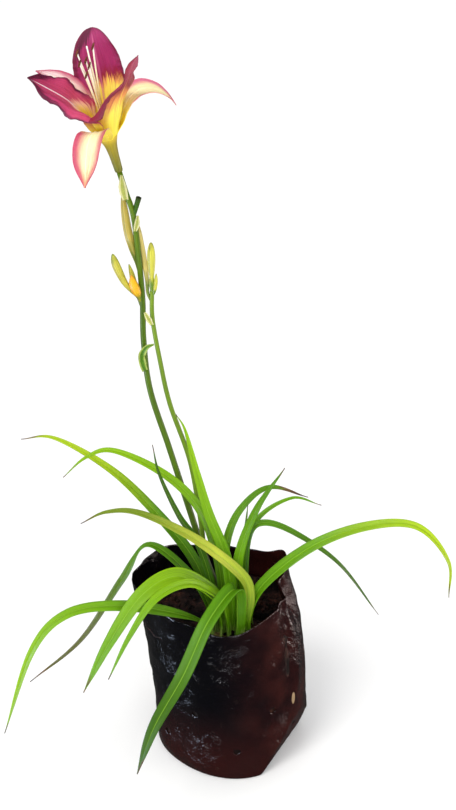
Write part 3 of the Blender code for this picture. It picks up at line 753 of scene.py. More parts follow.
leaf("left_high_far", (-18, -15), 168,
     [(1, 22), (17, 63), (53, 107), (86, 137), (130, 159), (159, 155)],
     9.5, (DEEP, MID, LIME), dry_from=0.93)
leaf("left_high_near", (-9, -27), 180,
     [(0, 40), (6, 81), (20, 119), (47, 148), (85, 168), (107, 162), (126, 144)],
     9.5, (DEEP, FRESH, BRIGHT), dry_from=0.95)
leaf("clasping_stem", (0, -33), 180,
     [(1, 40), (6, 76), (19, 114), (29, 154), (37, 189), (44, 203)],
     10, (MID, FRESH, BRIGHT), lean=(85, 80, 80), dry_from=0.98)
leaf("left_erect", (-14, -34), 196,
     [(3, 45), (15, 90), (30, 118), (45, 157), (50, 184)],
     6.5, (SHADE, DEEP, DEEP), lean=(80, 70, 70), dry_from=0.97)
leaf("yellowing", (13, -41), 192,
     [(3, 14), (0, 40), (7, 63), (43, 100), (86, 129), (113, 134), (134, 126)],
     10, (MID, YELLOW, OLIVE))
leaf("over_left_rim", (-19, -27), 190,
     [(0, 20), (16, 54), (50, 87), (72, 56), (108, 1), (152, -36)],
     7.5, (DEEP, MID, BUFF), dry_from=0.93, pinch=(0.43, 0.05, 0.6))
leaf("left_long", (-17, -43), 205,
     [(3, 14), (29, 33), (79, 55), (124, 60), (154, 34), (181, -37)],
     9.5, (DEEP, FRESH, BRIGHT), dry_from=0.985, pinch=(0.06, 0.12, 0.7))
leaf("front_left_broad", (-10, -38), 214,
     [(2, 24), (12, 47), (42, 73), (74, 67), (105, 34), (130, -4)],
     14.5, (MID, BRIGHT, FRESH), lean=(60, 35, 30), dry_from=0.955, blunt=3.5)
leaf("front_left_narrow", (-4, -43), 222,
     [(3, 24), (11, 46), (41, 72), (75, 73), (102, 50), (124, 20)],
     9, (MID, BRIGHT, FRESH), lean=(60, 35, 30), dry_from=0.985)
leaf("front", (3, -48), 235,
     [(-2, 26), (3, 53), (39, 42), (73, 10), (112, -16), (134, -46)],
     13, (MID, MID, DEEP), lean=(5, 10, 20), dry_from=0.975, blunt=6)
leaf("right_long", (17, -36), -12,
     [(-4, 13), (7, 48), (46, 90), (90, 115), (130, 120), (156, 92), (159, 58)],
     10, (MID, FRESH, LIME), dry_from=0.96)
leaf("right_erect", (8, -29), 8,
     [(-2, 28), (-3, 70), (11, 114), (34, 151)],
     9.5, (MID, FRESH, MID), lean=(85, 75, 70), dry_from=0.96)
leaf("right_kinked", (16, -24), 5,
     [(-5, 45), (-2, 89), (10, 100), (35, 89), (73, 57), (108, 5)],
     6, (DEEP, MID, DEEP), dry_from=0.96)
leaf("right_thin", (10, -18), 10,
     [(-1, 45), (8, 95), (38, 116), (64, 107)],
     6, (DEEP, MID, FRESH), dry_from=0.95)
leaf("brown_tipped", (0, -13), 20,
     [(-6, 40), (-5, 76), (7, 105), (32, 121), (67, 105)],
     8, (DEEP, FRESH, MID), dry_from=0.83, curl=120)
leaf("back_short", (9, -9), 60,
     [(-4, 35), (-1, 68), (8, 107)],
     7, (DEEP, MID, FRESH), lean=(85, 85, 85), dry_from=0.97)

# %% [markdown]
# ## Flowering stems
# Two scapes rise side by side. Each is round and smooth, darker below and bright green near its
# top, with faint ridges along it. The tall one carries the bloom, and the cut stub of a flower
# that has gone. A tube is a grid too: U goes round it and V along it, and its end rows shrink to
# a point, which closes it.

# %% Tubes
STEM_ROWS = 120


def path_frames(points, sections):
    """Centres along a path, each with two directions across it that do not twist."""
    centres = even_path(points, sections)
    ways = directions(centres)
    across = Vector((1, 0, 0))
    frames = []
    for centre, ahead in zip(centres, ways):
        across = (across - ahead * across.dot(ahead)).normalized()
        frames.append((centre, across, ahead.cross(across)))
    return frames


def tube_mesh(points, radii, sides, sections, form=None):
    """A closed tube. form(angle, share) scales the radius, for ridges and lobes."""
    frames = path_frames(points, sections)
    rows = sections + 2

    def spot(u, v):
        row = round(v * rows)
        i = min(max(row - 1, 0), sections)
        share = i / sections
        centre, across, other = frames[i]
        angle = 2 * math.pi * u
        radius = 0 if row in (0, rows) else along(radii, share) * MM
        if form:
            radius *= form(angle, share)
        return centre + (across * math.cos(angle) + other * math.sin(angle)) * radius

    return bend_grid(sides, rows, spot, closed=True)


def ridged(angle, share):
    return 1 + 0.035 * math.cos(7 * angle + 2 * share)


def spots(*places):
    """Places given in millimetres."""
    return [Vector(place_mm) * MM for place_mm in places]


# %% The stems' finish and both stems


def stem_finish(name, low, middle, high, seed):
    finish = living(name, 0.20, 0.05, GREEN_GLOW, 0.8)
    patchy = finish.grain(3, 24, (seed, 0, 0), detail=4, rough=0.6)
    reach = finish.uneven(finish.up(), patchy, 0.04)
    colour = finish.ramp(reach, [(0.0, low), (0.35, middle), (0.75, middle), (1.0, high)])
    streaks = finish.grain(26, 5, (0, seed, 0))
    colour = finish.darken(colour, streaks, 0.35, 0.70, 0.5, (84, 110, 36))
    colour = finish.lighten(colour, streaks, 0.42, 0.25, 0.30, (190, 210, 60))
    return finish.show(colour, finish.vary(patchy, 0.36, 0.55), streaks, depth=0.25 * MM)


TALL_GREEN = stem_finish("stem_green", (48, 60, 4), (84, 116, 1), (104, 134, 4), 1)
STUB_GREEN = stem_finish("stub_green", (70, 120, 8), (60, 104, 10), (40, 44, 20), 4)
SHORT_GREEN = stem_finish("side_stem_green", (66, 92, 6), (108, 140, 18), (122, 152, 30), 6)
TALL_DEPTH = -9
SHORT_DEPTH = -21
TALL_LINE = [
    (-7, 129), (-7, 140), (-23, 190), (-36, 237), (-51, 292), (-65, 343), (-69, 385), (-69, 420),
    (-71, 452), (-74, 486), (-79, 504), (-83.5, 520),
]
SHORT_LINE = [
    (-6, 129), (-6, 140), (-21, 186), (-26, 232), (-34, 286), (-49, 336), (-56, 373), (-61, 408), (-61, 431),
]
STUB_LINE = [(-74.5, -9, 485), (-72.4, -9.2, 492), (-69.6, -9.8, 501)]


def stem(name, line, radii, sides, rows, finish, stands_for):
    mesh_data = tube_mesh(spots(*line), radii, sides, rows, ridged)
    return settle(name, mesh_data, [finish], [stands_for])


stem("stem_tall", [(x, TALL_DEPTH, z) for x, z in TALL_LINE], [2.9, 2.6, 2.4, 2.3, 2.2, 2.1],
     20, STEM_ROWS, TALL_GREEN, "stem_main")
stem("stem_tall_stub", STUB_LINE, [1.6, 1.9, 2.1], 14, 16, STUB_GREEN, "stem_main")
stem("stem_short", [(x, SHORT_DEPTH, z) for x, z in SHORT_LINE], [2.5, 2.2, 2.0, 1.9, 1.8, 1.7],
     18, STEM_ROWS, SHORT_GREEN, "stem_side")

# %% [markdown]
# ## Bracts
# A bract is a small leaf that clasps the stem under each bud: green in the middle, with thin
# papery margins that dry first. They are made as leaves are, with a deeper fold and a wave.

# %% The bracts
BRACT_FOLD = 0.5
BRACT_ROWS = 36
BRACT_THICKNESS = 0.5 * MM


def bract_finish(name, middle, margin):
    finish = living(name, 0.35, 0.15, BRACT_GLOW, 0.6)
    veins = finish.grain(30, 3)
    edge = finish.uneven(finish.off(finish.across(), 0.5), veins, 0.06)
    colour = finish.blend(finish.band(edge, 0.18, 0.40), paint(*middle), paint(*margin))
    colour = finish.darken(colour, veins, 0.4, 0.7, 0.45, (110, 120, 50))
    return finish.show(colour, finish.vary(veins, 0.5, 0.7), veins, depth=0.3 * MM)


GREEN_BRACT = bract_finish("bract_green", (84, 136, 14), (170, 190, 90))
PALE_BRACT = bract_finish("bract_pale", (176, 182, 84), (226, 222, 168))


def bract(name, points, widths, facing, finish, wave=0.25):
    keel = even_path(spots(*points), BRACT_ROWS)
    ways = directions(keel)
    seed = len(name)

    def spot(u, v):
        i = round(v * BRACT_ROWS)
        side = Vector(facing).cross(ways[i]).normalized()
        face = ways[i].cross(side)
        half = max(along(widths, v), 0.3) * MM / 2
        across = 2 * u - 1
        roll = wave * noise.noise(Vector((6 * v, 2 if across > 0 else -2, seed))) * across ** 2
        rise = half * (BRACT_FOLD * (math.sqrt(across ** 2 + 0.01) - 0.1) + roll)
        return keel[i] + side * half * across + face * rise

    piece = settle(name + "_sheath", bend_grid(12, BRACT_ROWS, spot), [finish], [name])
    return thicken(piece, BRACT_THICKNESS)


bract("bract_main", [(-68.6, -11.9, 361), (-70.2, -12.5, 367), (-70.6, -13.6, 375), (-66.6, -15.2, 382),
                     (-60.8, -16.2, 385)], [4.6, 5.4, 5.4, 4.0, 1.2], (0.3, -1, 0.3), GREEN_BRACT, wave=0.5)
bract("bract_side", [(-61.4, -23.5, 404.5), (-63.6, -24.1, 409.5), (-66.6, -24.3, 415)], [2.6, 4.4, 1.8],
      (-0.3, -1, 0.2), PALE_BRACT)
bract("bract_bloom", [(-79.3, -11.75, 500), (-80.6, -12.3, 507), (-81.9, -13.1, 519)], [4.5, 6.0, 1.4],
      (-0.2, -1, 0.2), PALE_BRACT)
bract("bract_upper", [(-73.0, -12.1, 475.5), (-71.6, -12.7, 481), (-70.6, -13.4, 488)], [2.4, 4.0, 1.6],
      (0.3, -1, 0.2), PALE_BRACT)

# %% [markdown]
# ## Buds
# A daylily bud is a blunt spindle of three sepals that meet in three shallow grooves. It swells
# above a short stalk. The grooves are in the tube's radius, and the colour runs from a green
# stalk to the yellow or orange of the flower inside.

# %% The buds
BUD_SIDES = 24
BUD_ROWS = 44


def lobed(angle, share):
    swell = smooth_step(share / 0.35)
    groove = abs(math.cos(1.5 * angle)) ** 6
    rounded = max(1 - share ** 14, 0) ** 0.5
    return (1 + swell * (0.05 * math.cos(3 * angle) - 0.07 * groove)) * rounded


def bud_finish(name, stalk, body, tip, groove, seed):
    finish = living(name, 0.45, 0.12, YELLOW_GLOW, 0.8)
    patchy = finish.grain(4, 6, (seed, 0, 0), detail=4, rough=0.6)
    reach = finish.uneven(finish.up(), patchy, 0.07)
    colour = finish.ramp(reach, [(0.0, stalk), (0.22, stalk), (0.42, body), (0.85, body), (1.0, tip)])
    lobes = finish.maths("SINE", finish.times(finish.across(), 3 * math.pi))
    lobes = finish.maths("ABSOLUTE", lobes)
    colour = finish.blend(finish.band(lobes, 0.35, 0.05, 0.0, 0.65), colour, paint(*groove))
    veins = finish.grain(34, 3, (0, seed, 0))
    colour = finish.darken(colour, veins, 0.35, 0.7, 0.40, (150, 136, 60))
    return finish.show(colour, finish.vary(patchy, 0.36, 0.5), veins, depth=0.25 * MM)


OLIVE_BUD = bud_finish("bud_olive", (104, 128, 36), (196, 176, 78), (128, 132, 52), (110, 122, 40), 1)
TAN_BUD = bud_finish("bud_tan", (110, 134, 40), (222, 204, 116), (176, 166, 84), (168, 150, 70), 2)
GREEN_BUD = bud_finish("bud_green", (92, 124, 30), (196, 190, 66), (112, 150, 40), (150, 132, 40), 3)
LIME_BUD = bud_finish("bud_lime", (110, 146, 34), (204, 202, 66), (120, 130, 40), (92, 104, 26), 4)
ORANGE_BUD = bud_finish("bud_orange_petals", (150, 160, 40), (244, 186, 24), (236, 150, 20),
                        (214, 132, 20), 5)


def bud(name, finish, radii, points):
    mesh_data = tube_mesh(spots(*points), radii, BUD_SIDES, BUD_ROWS, lobed)
    return settle(name + "_sepals", mesh_data, [finish], [name])


bud("bud_long_left", OLIVE_BUD, [0.9, 1.3, 2.6, 3.3, 3.3, 3.0, 2.2, 0.9], [
    (-71.0, -7.8, 439), (-72.8, -6, 447), (-76.2, -5.8, 461), (-79, -5.8, 474), (-80.9, -5, 489),
    (-81.8, -4.6, 499), (-82.7, -4.3, 506),
])
bud("bud_long_right", TAN_BUD, [0.9, 1.3, 1.6, 2.1, 2.4, 2.3, 2.0, 0.8], [
    (-61.6, -20.6, 422), (-64.3, -19.5, 429), (-65, -13.5, 437), (-66.8, -6.5, 447), (-69.3, -3.6, 462),
    (-71.8, -3.4, 481),
])
bud("bud_green_left", GREEN_BUD, [1.2, 1.2, 1.5, 2.2, 2.8, 3.2, 3.1, 2.0], [
    (-70.4, -9.2, 415), (-72.6, -9.5, 421.5), (-77.4, -11, 427.5), (-81.8, -12, 434),
    (-85.4, -12.5, 441.7), (-88.5, -13, 450), (-90.5, -13, 458),
])
bud("bud_small_left", GREEN_BUD, [0.9, 1.4, 2.3, 2.3, 1.7, 0.7], [
    (-70.2, -8, 421), (-72, -6.6, 427), (-75.4, -5.6, 432), (-77, -5.4, 439), (-79, -5.2, 447),
])
bud("bud_orange", ORANGE_BUD, [0.9, 1.4, 3.0, 3.7, 3.6, 2.6, 0.9], [
    (-70.4, -9.8, 418), (-71.95, -11.4, 424), (-73.5, -13.4, 428.5), (-75.6, -14.5, 435),
    (-76.8, -14.6, 441.5),
])
bud("bud_side_top", LIME_BUD, [1.6, 1.5, 2.4, 1.9, 2.6, 3.1, 3.2, 2.8, 2.0], [
    (-61, -21, 426), (-61, -21, 431.3), (-61, -21, 441), (-61, -21, 452), (-60.9, -21, 470),
])
bud("bud_side_small", LIME_BUD, [0.8, 1.4, 1.5, 0.7], [
    (-60.6, -21.2, 427), (-58.8, -22.4, 432.5), (-57.8, -22.9, 439), (-57.4, -23.1, 446),
])

# %% [markdown]
# ## The bloom
# The flower is a narrow green tube that opens into a bell of six tepals: three broad ruffled
# petals, and between them three narrower sepals that roll back. Each tepal is a bent grid that
# starts on the tube's mouth. The rule that bends it works in steps: its line flares away from
# the bloom's axis, its width follows the tepal's outline, its margins are ruffled, and the whole
# is turned to its place round the axis. At the front of the bell the left and right petals keep
# to the bell's round, and their near margins roll outwards.

# %% The bloom's axis
BLOOM_FOOT = Vector((-83.5, -9, 520)) * MM
TUBE_PROFILE = [(2.5, 0), (2.8, 8), (3.2, 16), (4.2, 24), (6.4, 31)]      # radius and height
TUBE_TILT_LEFT, TUBE_TILT_FRONT = math.radians(12), math.radians(19)

axis = Vector((-math.tan(TUBE_TILT_LEFT), -math.tan(TUBE_TILT_FRONT), 1)).normalized()
right = Vector((1, 0, 0))
right = (right - axis * right.dot(axis)).normalized()
back = axis.cross(right).normalized()
bloom_base = BLOOM_FOOT + axis * MM


def in_bloom(high, behind, sideways):
    """A place given in millimetres along the bloom's axis, behind it and to its right."""
    return bloom_base + (axis * high + back * behind + right * sideways) * MM


print("bloom's axis leans", round(math.degrees(axis.angle(Vector((0, 0, 1))))), "degrees")

# %% The rule for a tepal
BLUNT_SHAPE = [0, 0.62, 0.94, 0.98, 0.84, 0.50]      # widths from foot to tip
LEFT_SHAPE = [0, 0.90, 1.10, 1.08, 0.92, 0.24]
RIGHT_SHAPE = [0, 0.88, 1.10, 0.92, 0.50, 0.44]
SEPAL_SHAPE = [0, 0.66, 0.97, 1.0, 0.80, 0.16]
PETAL_HALF_ANGLE = math.radians(34)       # how much of the tube's mouth a tepal's foot takes up
SEPAL_HALF_ANGLE = math.radians(26)
OPEN_BOW = 0.35           # how much a tepal is bowed across where it is free of the tube
ROLL_FROM = 0.60          # a rolled margin starts this far from the midrib
ROLL_START = 0.26         # and this far up the tepal
ROLL_RADIUS = 4.0
REACH_ROUND = 0.30        # how much further a front margin reaches round the bell
WRAP_UNTIL = 0.42         # a petal that keeps to the bell's round does so up to this share
CURL_START = 0.78
SEPAL_OUTSET = 2.6        # the sepals stand this far outside the petals
LINE_STEPS = 24


class Tepal:
    """One of the six: where it stands, how it flares, how wide and how waved it is."""

    def __init__(self, turn, length, width, flare, shape, tip_curl=0, ruffle=0.0, swing=0, twist=0,
                 rolled=0, wrap=0.0):
        """rolled is the side (1 or -1) that rolls out; wrap is how well it keeps to the bell."""
        self.turn, self.length, self.width = turn, length, width
        self.flare, self.shape, self.tip_curl = flare, shape, tip_curl
        self.ruffle, self.swing, self.twist = ruffle, swing, twist
        self.rolled, self.wrap = rolled, wrap
        self.petal = shape is not SEPAL_SHAPE
        self.half_angle = PETAL_HALF_ANGLE if self.petal else SEPAL_HALF_ANGLE

    def bend(self, share):
        """How far the blade leans from the axis at a share of its length."""
        curled = math.radians(self.tip_curl) * smooth_step((share - CURL_START) / 0.22)
        return math.radians(along(self.flare, share)) + curled

    def midrib(self, share):
        """How far out and how high the midrib is at a share of its length."""
        radial, height = TUBE_PROFILE[-1]
        radial += 0 if self.petal else SEPAL_OUTSET * smooth_step(share / 0.2)
        steps = max(1, int(share * LINE_STEPS))
        for i in range(steps):
            flare = self.bend(share * (i + 0.5) / steps)
            radial += math.sin(flare) * self.length * share / steps
            height += math.cos(flare) * self.length * share / steps
        return radial, height

    def half_width(self, share):
        neck = TUBE_PROFILE[-1][0] * self.half_angle * (1 - smooth_step(share / 0.3))
        rounded_tip = (1 - share ** 12) ** 0.5
        return max(neck + self.width / 2 * along(self.shape, share) * rounded_tip, 0.6)

    def section(self, share, across, radial):
        """How far to the side of the midrib a point is, and how far in from it."""
        half = self.half_width(share)
        opened = smooth_step(share / 0.5)
        bow = self.half_angle * (1 - opened) + OPEN_BOW * opened
        held = self.wrap * smooth_step(share / 0.12)
        held *= 1 - smooth_step((share - WRAP_UNTIL) / 0.35)
        bow += (half / radial - bow) * held
        if across * self.rolled > 0:
            half *= 1 + REACH_ROUND * held
        beyond = (across * self.rolled - ROLL_FROM) * half
        if self.rolled and beyond > 0:
            return self.roll_out(share, half, bow, beyond)
        return half * math.sin(across * bow) / bow, half * (1 - math.cos(across * bow)) / bow

    def roll_out(self, share, half, bow, beyond):
        """The same for a point that is some way beyond the line where the margin rolls out."""
        amount = smooth_step((share - ROLL_START) / 0.20) * (1 - share ** 8)
        radius = ROLL_RADIUS / max(amount, 0.02)
        start = ROLL_FROM * bow
        ahead = radius * math.sin(beyond / radius)
        aside = radius * (1 - math.cos(beyond / radius))
        lateral = half * math.sin(start) / bow + ahead * math.cos(start) + aside * math.sin(start)
        lift = half * (1 - math.cos(start)) / bow + ahead * math.sin(start) - aside * math.cos(start)
        return self.rolled * lateral, lift

    def frill(self, share, across):
        """The margin's slow wave, its fine crimp, and the midrib's groove, in millimetres."""
        open_share = smooth_step(share / 0.35) * (1 - share ** 6)
        wave = math.sin(2 * math.pi * 3.2 * share + (1.9 if across > 0 else 0))
        slow = self.ruffle * across ** 2 * wave * open_share
        crimp_at = Vector((13 * share + 9 * (across > 0), self.turn, 0)) * 1.7
        crimp = (1.5 if self.petal else 0.4) * noise.noise(crimp_at) * abs(across) ** 5 * open_share
        rib = 0.5 * math.exp(-(across / 0.07) ** 2)
        rib *= smooth_step(share / 0.2) * (1 - smooth_step((share - 0.8) / 0.2))
        veins = 0.10 * math.cos(26 * across) * open_share
        return slow + crimp + rib + veins

    def point(self, share, across):
        """Where a point is: share from foot to tip, across from -1 to 1."""
        radial, height = self.midrib(share)
        flare = self.bend(share)
        lateral, lift = self.section(share, across, radial)
        lift += self.frill(share, across)
        turned = math.radians(self.twist) * smooth_step(share / 0.6)
        lateral, lift = (lateral * math.cos(turned) - lift * math.sin(turned),
                         lateral * math.sin(turned) + lift * math.cos(turned))
        turn = math.radians(self.turn + self.swing * smooth_step(share))
        outward = radial - lift * math.cos(flare)
        return in_bloom(height + lift * math.sin(flare),
                        outward * math.cos(turn) - lateral * math.sin(turn),
                        outward * math.sin(turn) + lateral * math.cos(turn))

# %% [markdown]
# The colours of the bloom are laid on each tepal by its UV map, as they grow. The throat is
# yellow. Above it a petal turns through orange into a red-purple, first along the margins, with
# a pale line on the midrib and a darker rim. A sepal is cream in the middle, pink at its margins
# and peach at its tip. The outside of a petal is yellow for half its length. Fine veins run from
# throat to tip in all of them.

# %% The tepals' finishes


def tepal_finish(name, run, edge, edge_from, midrib, rib_strength, droop, seed, slant=0.0, shift=0.0,
                 edge_up=0.28):
    """run is the colours from throat to tip; the margins run ahead of the middle by droop.

    slant makes one side's colours run ahead, and shift moves the pale middle off the midrib. The
    edge's colour sets in at edge_up.
    """
    finish = living(name, 0.35, 0.22, PETAL_GLOW, 1.0)
    across, up = finish.across(), finish.up()
    off_rib = finish.off(across, 0.5)
    patchy = finish.grain(7, 4, (seed, seed, 0), detail=5, rough=0.6)
    veins = finish.grain(46, 1.8, (0, seed, 0), rough=0.6)
    ahead = finish.times(finish.maths("POWER", off_rib, 1.6), droop)
    reach = finish.uneven(finish.add(up, ahead), veins, 0.05, low=0.25)
    reach = finish.uneven(reach, patchy, 0.03, low=0.25)
    reach = finish.add(reach, finish.times(finish.maths("SUBTRACT", across, 0.5), slant))
    colour = finish.ramp(reach, run)
    rim = finish.uneven(finish.off(across, 0.5 + shift), patchy, 0.035)
    rim = finish.times(finish.band(rim, edge_from, 0.49), finish.band(up, edge_up, edge_up + 0.17))
    colour = finish.blend(rim, colour, paint(*edge))
    rib = finish.times(finish.band(off_rib, 0.032, 0.008), finish.band(up, 1.0, 0.86))
    colour = finish.blend(finish.times(rib, rib_strength), colour, paint(*midrib))
    colour = finish.darken(colour, veins, 0.50, 0.80, 0.40, (150, 70, 90))
    colour = finish.lighten(colour, veins, 0.50, 0.20, 0.50, (250, 225, 235))
    height = finish.add(veins, finish.times(patchy, 0.5))
    return finish.show(colour, finish.vary(patchy, 0.38, 0.58), height, depth=0.35 * MM)


THROAT, GOLD, FLAME = (252, 228, 52), (252, 220, 84), (236, 138, 66)
WINE, MAGENTA, PLUM = (150, 32, 56), (160, 38, 98), (98, 22, 56)
CREAM, ROSE, PEACH = (248, 232, 178), (194, 76, 104), (226, 158, 118)
LIP, RIB_YELLOW, RIB_CREAM = (158, 36, 62), (240, 210, 90), (252, 240, 200)
PETAL_RUN = [(0.0, THROAT), (0.42, (255, 230, 92)), (0.465, (240, 168, 96)), (0.51, WINE),
             (0.60, MAGENTA), (0.93, MAGENTA), (1.0, PLUM)]
LEFT_RUN = [(0.0, THROAT), (0.34, GOLD), (0.46, (246, 196, 170)), (0.54, (196, 74, 108)),
            (0.92, (178, 50, 96)), (1.0, PLUM)]
RIGHT_RUN = [(0.0, THROAT), (0.16, GOLD), (0.26, FLAME), (0.36, WINE), (0.60, (150, 38, 72)),
             (1.0, (176, 70, 100))]
OUTSIDE_RUN = [(0.0, (252, 232, 48)), (0.40, (254, 228, 84)), (0.54, (236, 150, 78)), (0.66, WINE),
               (1.0, (190, 90, 120))]
SEPAL_RUN = [(0.0, THROAT), (0.20, THROAT), (0.40, CREAM), (0.80, CREAM), (0.95, PEACH), (1.0, PEACH)]
LEFT_SEPAL_RUN = [(0.0, THROAT), (0.20, THROAT), (0.40, (246, 214, 196)), (0.85, (240, 206, 206)),
                  (1.0, ROSE)]
SEPAL_OUTSIDE_RUN = [(0.0, (236, 206, 46)), (0.34, (248, 222, 84)), (0.60, CREAM), (0.85, CREAM),
                     (1.0, PEACH)]

PETAL_IN = tepal_finish("petal_inside", PETAL_RUN, (124, 30, 70), 0.38, (206, 104, 150), 0.6, 0.5, 1,
                        slant=-0.32)
LEFT_IN = tepal_finish("left_petal_inside", LEFT_RUN, PLUM, 0.42, (250, 226, 230), 0.95, 0.85, 2)
RIGHT_IN = tepal_finish("right_petal_inside", RIGHT_RUN, (120, 28, 52), 0.40, (220, 120, 140), 0.4,
                        0.25, 3)
PETAL_OUT = tepal_finish("petal_outside", OUTSIDE_RUN, (176, 60, 72), 0.45, RIB_YELLOW, 0.5, 0.25, 4)
RIGHT_OUT = tepal_finish("right_petal_outside", OUTSIDE_RUN, LIP, 0.20, RIB_YELLOW, 0.3, 0.45, 9,
                         shift=-0.10, edge_up=0.14)
LEFT_OUT = tepal_finish("left_petal_outside", OUTSIDE_RUN, LIP, 0.30, RIB_YELLOW, 0.3, 0.45, 10,
                        shift=0.10, edge_up=0.24)
SEPAL_IN = tepal_finish("sepal_inside", SEPAL_RUN, ROSE, 0.10, RIB_CREAM, 0.7, 0.2, 5, shift=-0.06)
RIGHT_SEPAL_IN = tepal_finish("right_sepal_inside", SEPAL_RUN, (214, 112, 140), 0.26, RIB_CREAM, 0.5,
                              0.1, 6, shift=0.08)
LEFT_SEPAL_IN = tepal_finish("left_sepal_inside", LEFT_SEPAL_RUN, (190, 60, 104), 0.22,
                             (255, 246, 240), 0.6, 0.1, 8)
SEPAL_OUT = tepal_finish("sepal_outside", SEPAL_OUTSIDE_RUN, (220, 132, 142), 0.40, (240, 226, 150),
                         0.5, 0.1, 7)

# %% [markdown]
# The six tepals stand in a table: where each is turned to, how long and wide it is, how its line
# flares from foot to tip, and which finishes are on its inside and its outside. The grid is a
# sheet, and Solidify gives it its thickness and puts the second finish on its back.

# %% The tepals
TEPAL_ROWS = 76
TEPAL_COLUMNS = 40
TEPAL_THICKNESS = 0.5 * MM
TEPALS = {
    "petal_back": (
        Tepal(5, 75, 38, [22, 29, 14, 16], BLUNT_SHAPE, tip_curl=30, ruffle=0.8),
        PETAL_IN, PETAL_OUT,
    ),
    "sepal_right": (
        Tepal(62, 69, 23, [24, 40, 122, 165], SEPAL_SHAPE, swing=9),
        RIGHT_SEPAL_IN, SEPAL_OUT,
    ),
    "petal_right": (
        Tepal(126, 76, 36, [22, 21, 33, 14], RIGHT_SHAPE, tip_curl=20, ruffle=2.2, swing=-18,
              twist=13, rolled=1, wrap=1.0),
        RIGHT_IN, RIGHT_OUT,
    ),
    "sepal_front": (
        Tepal(180, 71, 21, [30, 47, 157, 142], SEPAL_SHAPE, swing=18),
        SEPAL_IN, SEPAL_OUT,
    ),
    "petal_left": (
        Tepal(252, 73, 34, [22, 16, 42, 40], LEFT_SHAPE, ruffle=2.0, swing=10, rolled=-1, wrap=0.9),
        LEFT_IN, LEFT_OUT,
    ),
    "sepal_left": (
        Tepal(305, 72, 22, [22, 14, 68, 90], SEPAL_SHAPE, twist=-15),
        LEFT_SEPAL_IN, SEPAL_OUT,
    ),
}


def face_inwards(mesh_data):
    """Turn a tepal's faces so that they look at the bloom's axis."""
    mesh_data.normal_update()
    votes = 0
    for face in mesh_data.faces:
        from_base = face.calc_center_median() - bloom_base
        to_axis = axis * from_base.dot(axis) - from_base
        if from_base.length < 50 * MM:
            votes += 1 if face.normal.dot(to_axis) > 0 else -1
    if votes < 0:
        bmesh.ops.reverse_faces(mesh_data, faces=mesh_data.faces)


for name, (tepal, inside, outside) in TEPALS.items():
    blade = bend_grid(TEPAL_COLUMNS, TEPAL_ROWS, lambda u, v: tepal.point(v, 2 * u - 1))
    face_inwards(blade)
    piece = settle(name, blade, [inside, outside], ["bloom_tepals"])
    thicken(piece, TEPAL_THICKNESS, back=1)

# %% [markdown]
# The tube below the tepals is olive green and turns yellow as it widens. Six faint ribs run up
# it, one to each tepal's midrib.

# %% The tube
LIP_FROM = 0.94           # past this share of its length the tube reaches on under the tepals


def tube_finish():
    finish = living("bloom_tube_green", 0.4, 0.12, YELLOW_GLOW, 0.8)
    veins = finish.grain(40, 2)
    colour = finish.ramp(finish.uneven(finish.up(), veins, 0.06), [
        (0.0, (112, 116, 14)), (0.50, (150, 138, 18)), (0.80, (176, 156, 24)), (1.0, (228, 196, 50)),
    ])
    colour = finish.darken(colour, veins, 0.4, 0.7, 0.45, (130, 120, 40))
    return finish.show(colour, finish.vary(veins, 0.40, 0.55), veins, depth=0.3 * MM)


def tube_spot(u, v):
    angle = 2 * math.pi * u
    profile = [Vector((radius, height)) for radius, height in TUBE_PROFILE]
    radius, height = along(profile, min(v / LIP_FROM, 1.0))
    if v > LIP_FROM:
        height += 2.5 * (v - LIP_FROM) / (1 - LIP_FROM)
        radius += 0.9 * (v - LIP_FROM) / (1 - LIP_FROM)
    radius *= 1 + 0.03 * math.cos(6 * angle)
    if v == 0:
        radius = 0
    return in_bloom(height, radius * math.cos(angle), radius * math.sin(angle))


tube = bend_grid(60, 40, tube_spot, closed=True)
bloom_tube = settle("bloom_tube", tube, [tube_finish()], ["bloom_tepals"])
thicken(bloom_tube, TEPAL_THICKNESS, offset=-1)

# %% [markdown]
# ## Stamens and style
# Six filaments and a longer style rise from the tube, cream at the foot and white at the tip.
# Each filament ends in an anther that sits on its tip: a small brown boat flecked with pollen.

# %% The filaments, the anthers and the style


def thread_finish():
    finish = living("filament_cream", 0.4, 0.15, THREAD_GLOW, 0.6)
    streaks = finish.grain(12, 8)
    colour = finish.ramp(finish.uneven(finish.up(), streaks, 0.08), [
        (0.0, (244, 226, 70)), (0.45, (255, 236, 140)), (0.80, (255, 246, 216)), (1.0, (255, 250, 244)),
    ])
    return finish.show(colour, finish.vary(streaks, 0.4, 0.55), streaks, depth=0.15 * MM)


def anther_finish():
    finish = Finish("anther_brown", Specular_IOR_Level=0.3)
    pollen = finish.cloud(finish.place(), 1500, detail=3, rough=0.7)
    colour = finish.ramp(pollen, [(0.30, (30, 18, 20)), (0.52, (92, 48, 30)), (0.75, (190, 112, 52))])
    return finish.show(colour, finish.vary(pollen, 0.95, 0.75), pollen, depth=0.3 * MM)


THREAD_FOOT = 21.5
THREAD_TIPS = [           # six filaments, and last the style: how high, behind and to the right, in mm
    (99, 5, -5), (93, 1, -4.5), (91, 7, -1), (90, 1, 1.6), (99, 10, 6), (86, -3.5, -1.2), (103, 5, 3),
]
THREAD_RADII = [0.8, 0.75, 0.7, 0.65, 0.55]
THREAD_SPACING = 60       # bearings round the axis, in degrees
FIRST_THREAD = 20
FOOT_RING = 1.3           # the threads start this far from the bloom's axis
ANTHER_RADII = [0.4, 0.95, 1.0, 0.95, 0.4]
ANTHER_HALF = Vector((0.9, 0, 2.8)) * MM
CREAM_THREAD, BROWN_ANTHER = thread_finish(), anther_finish()


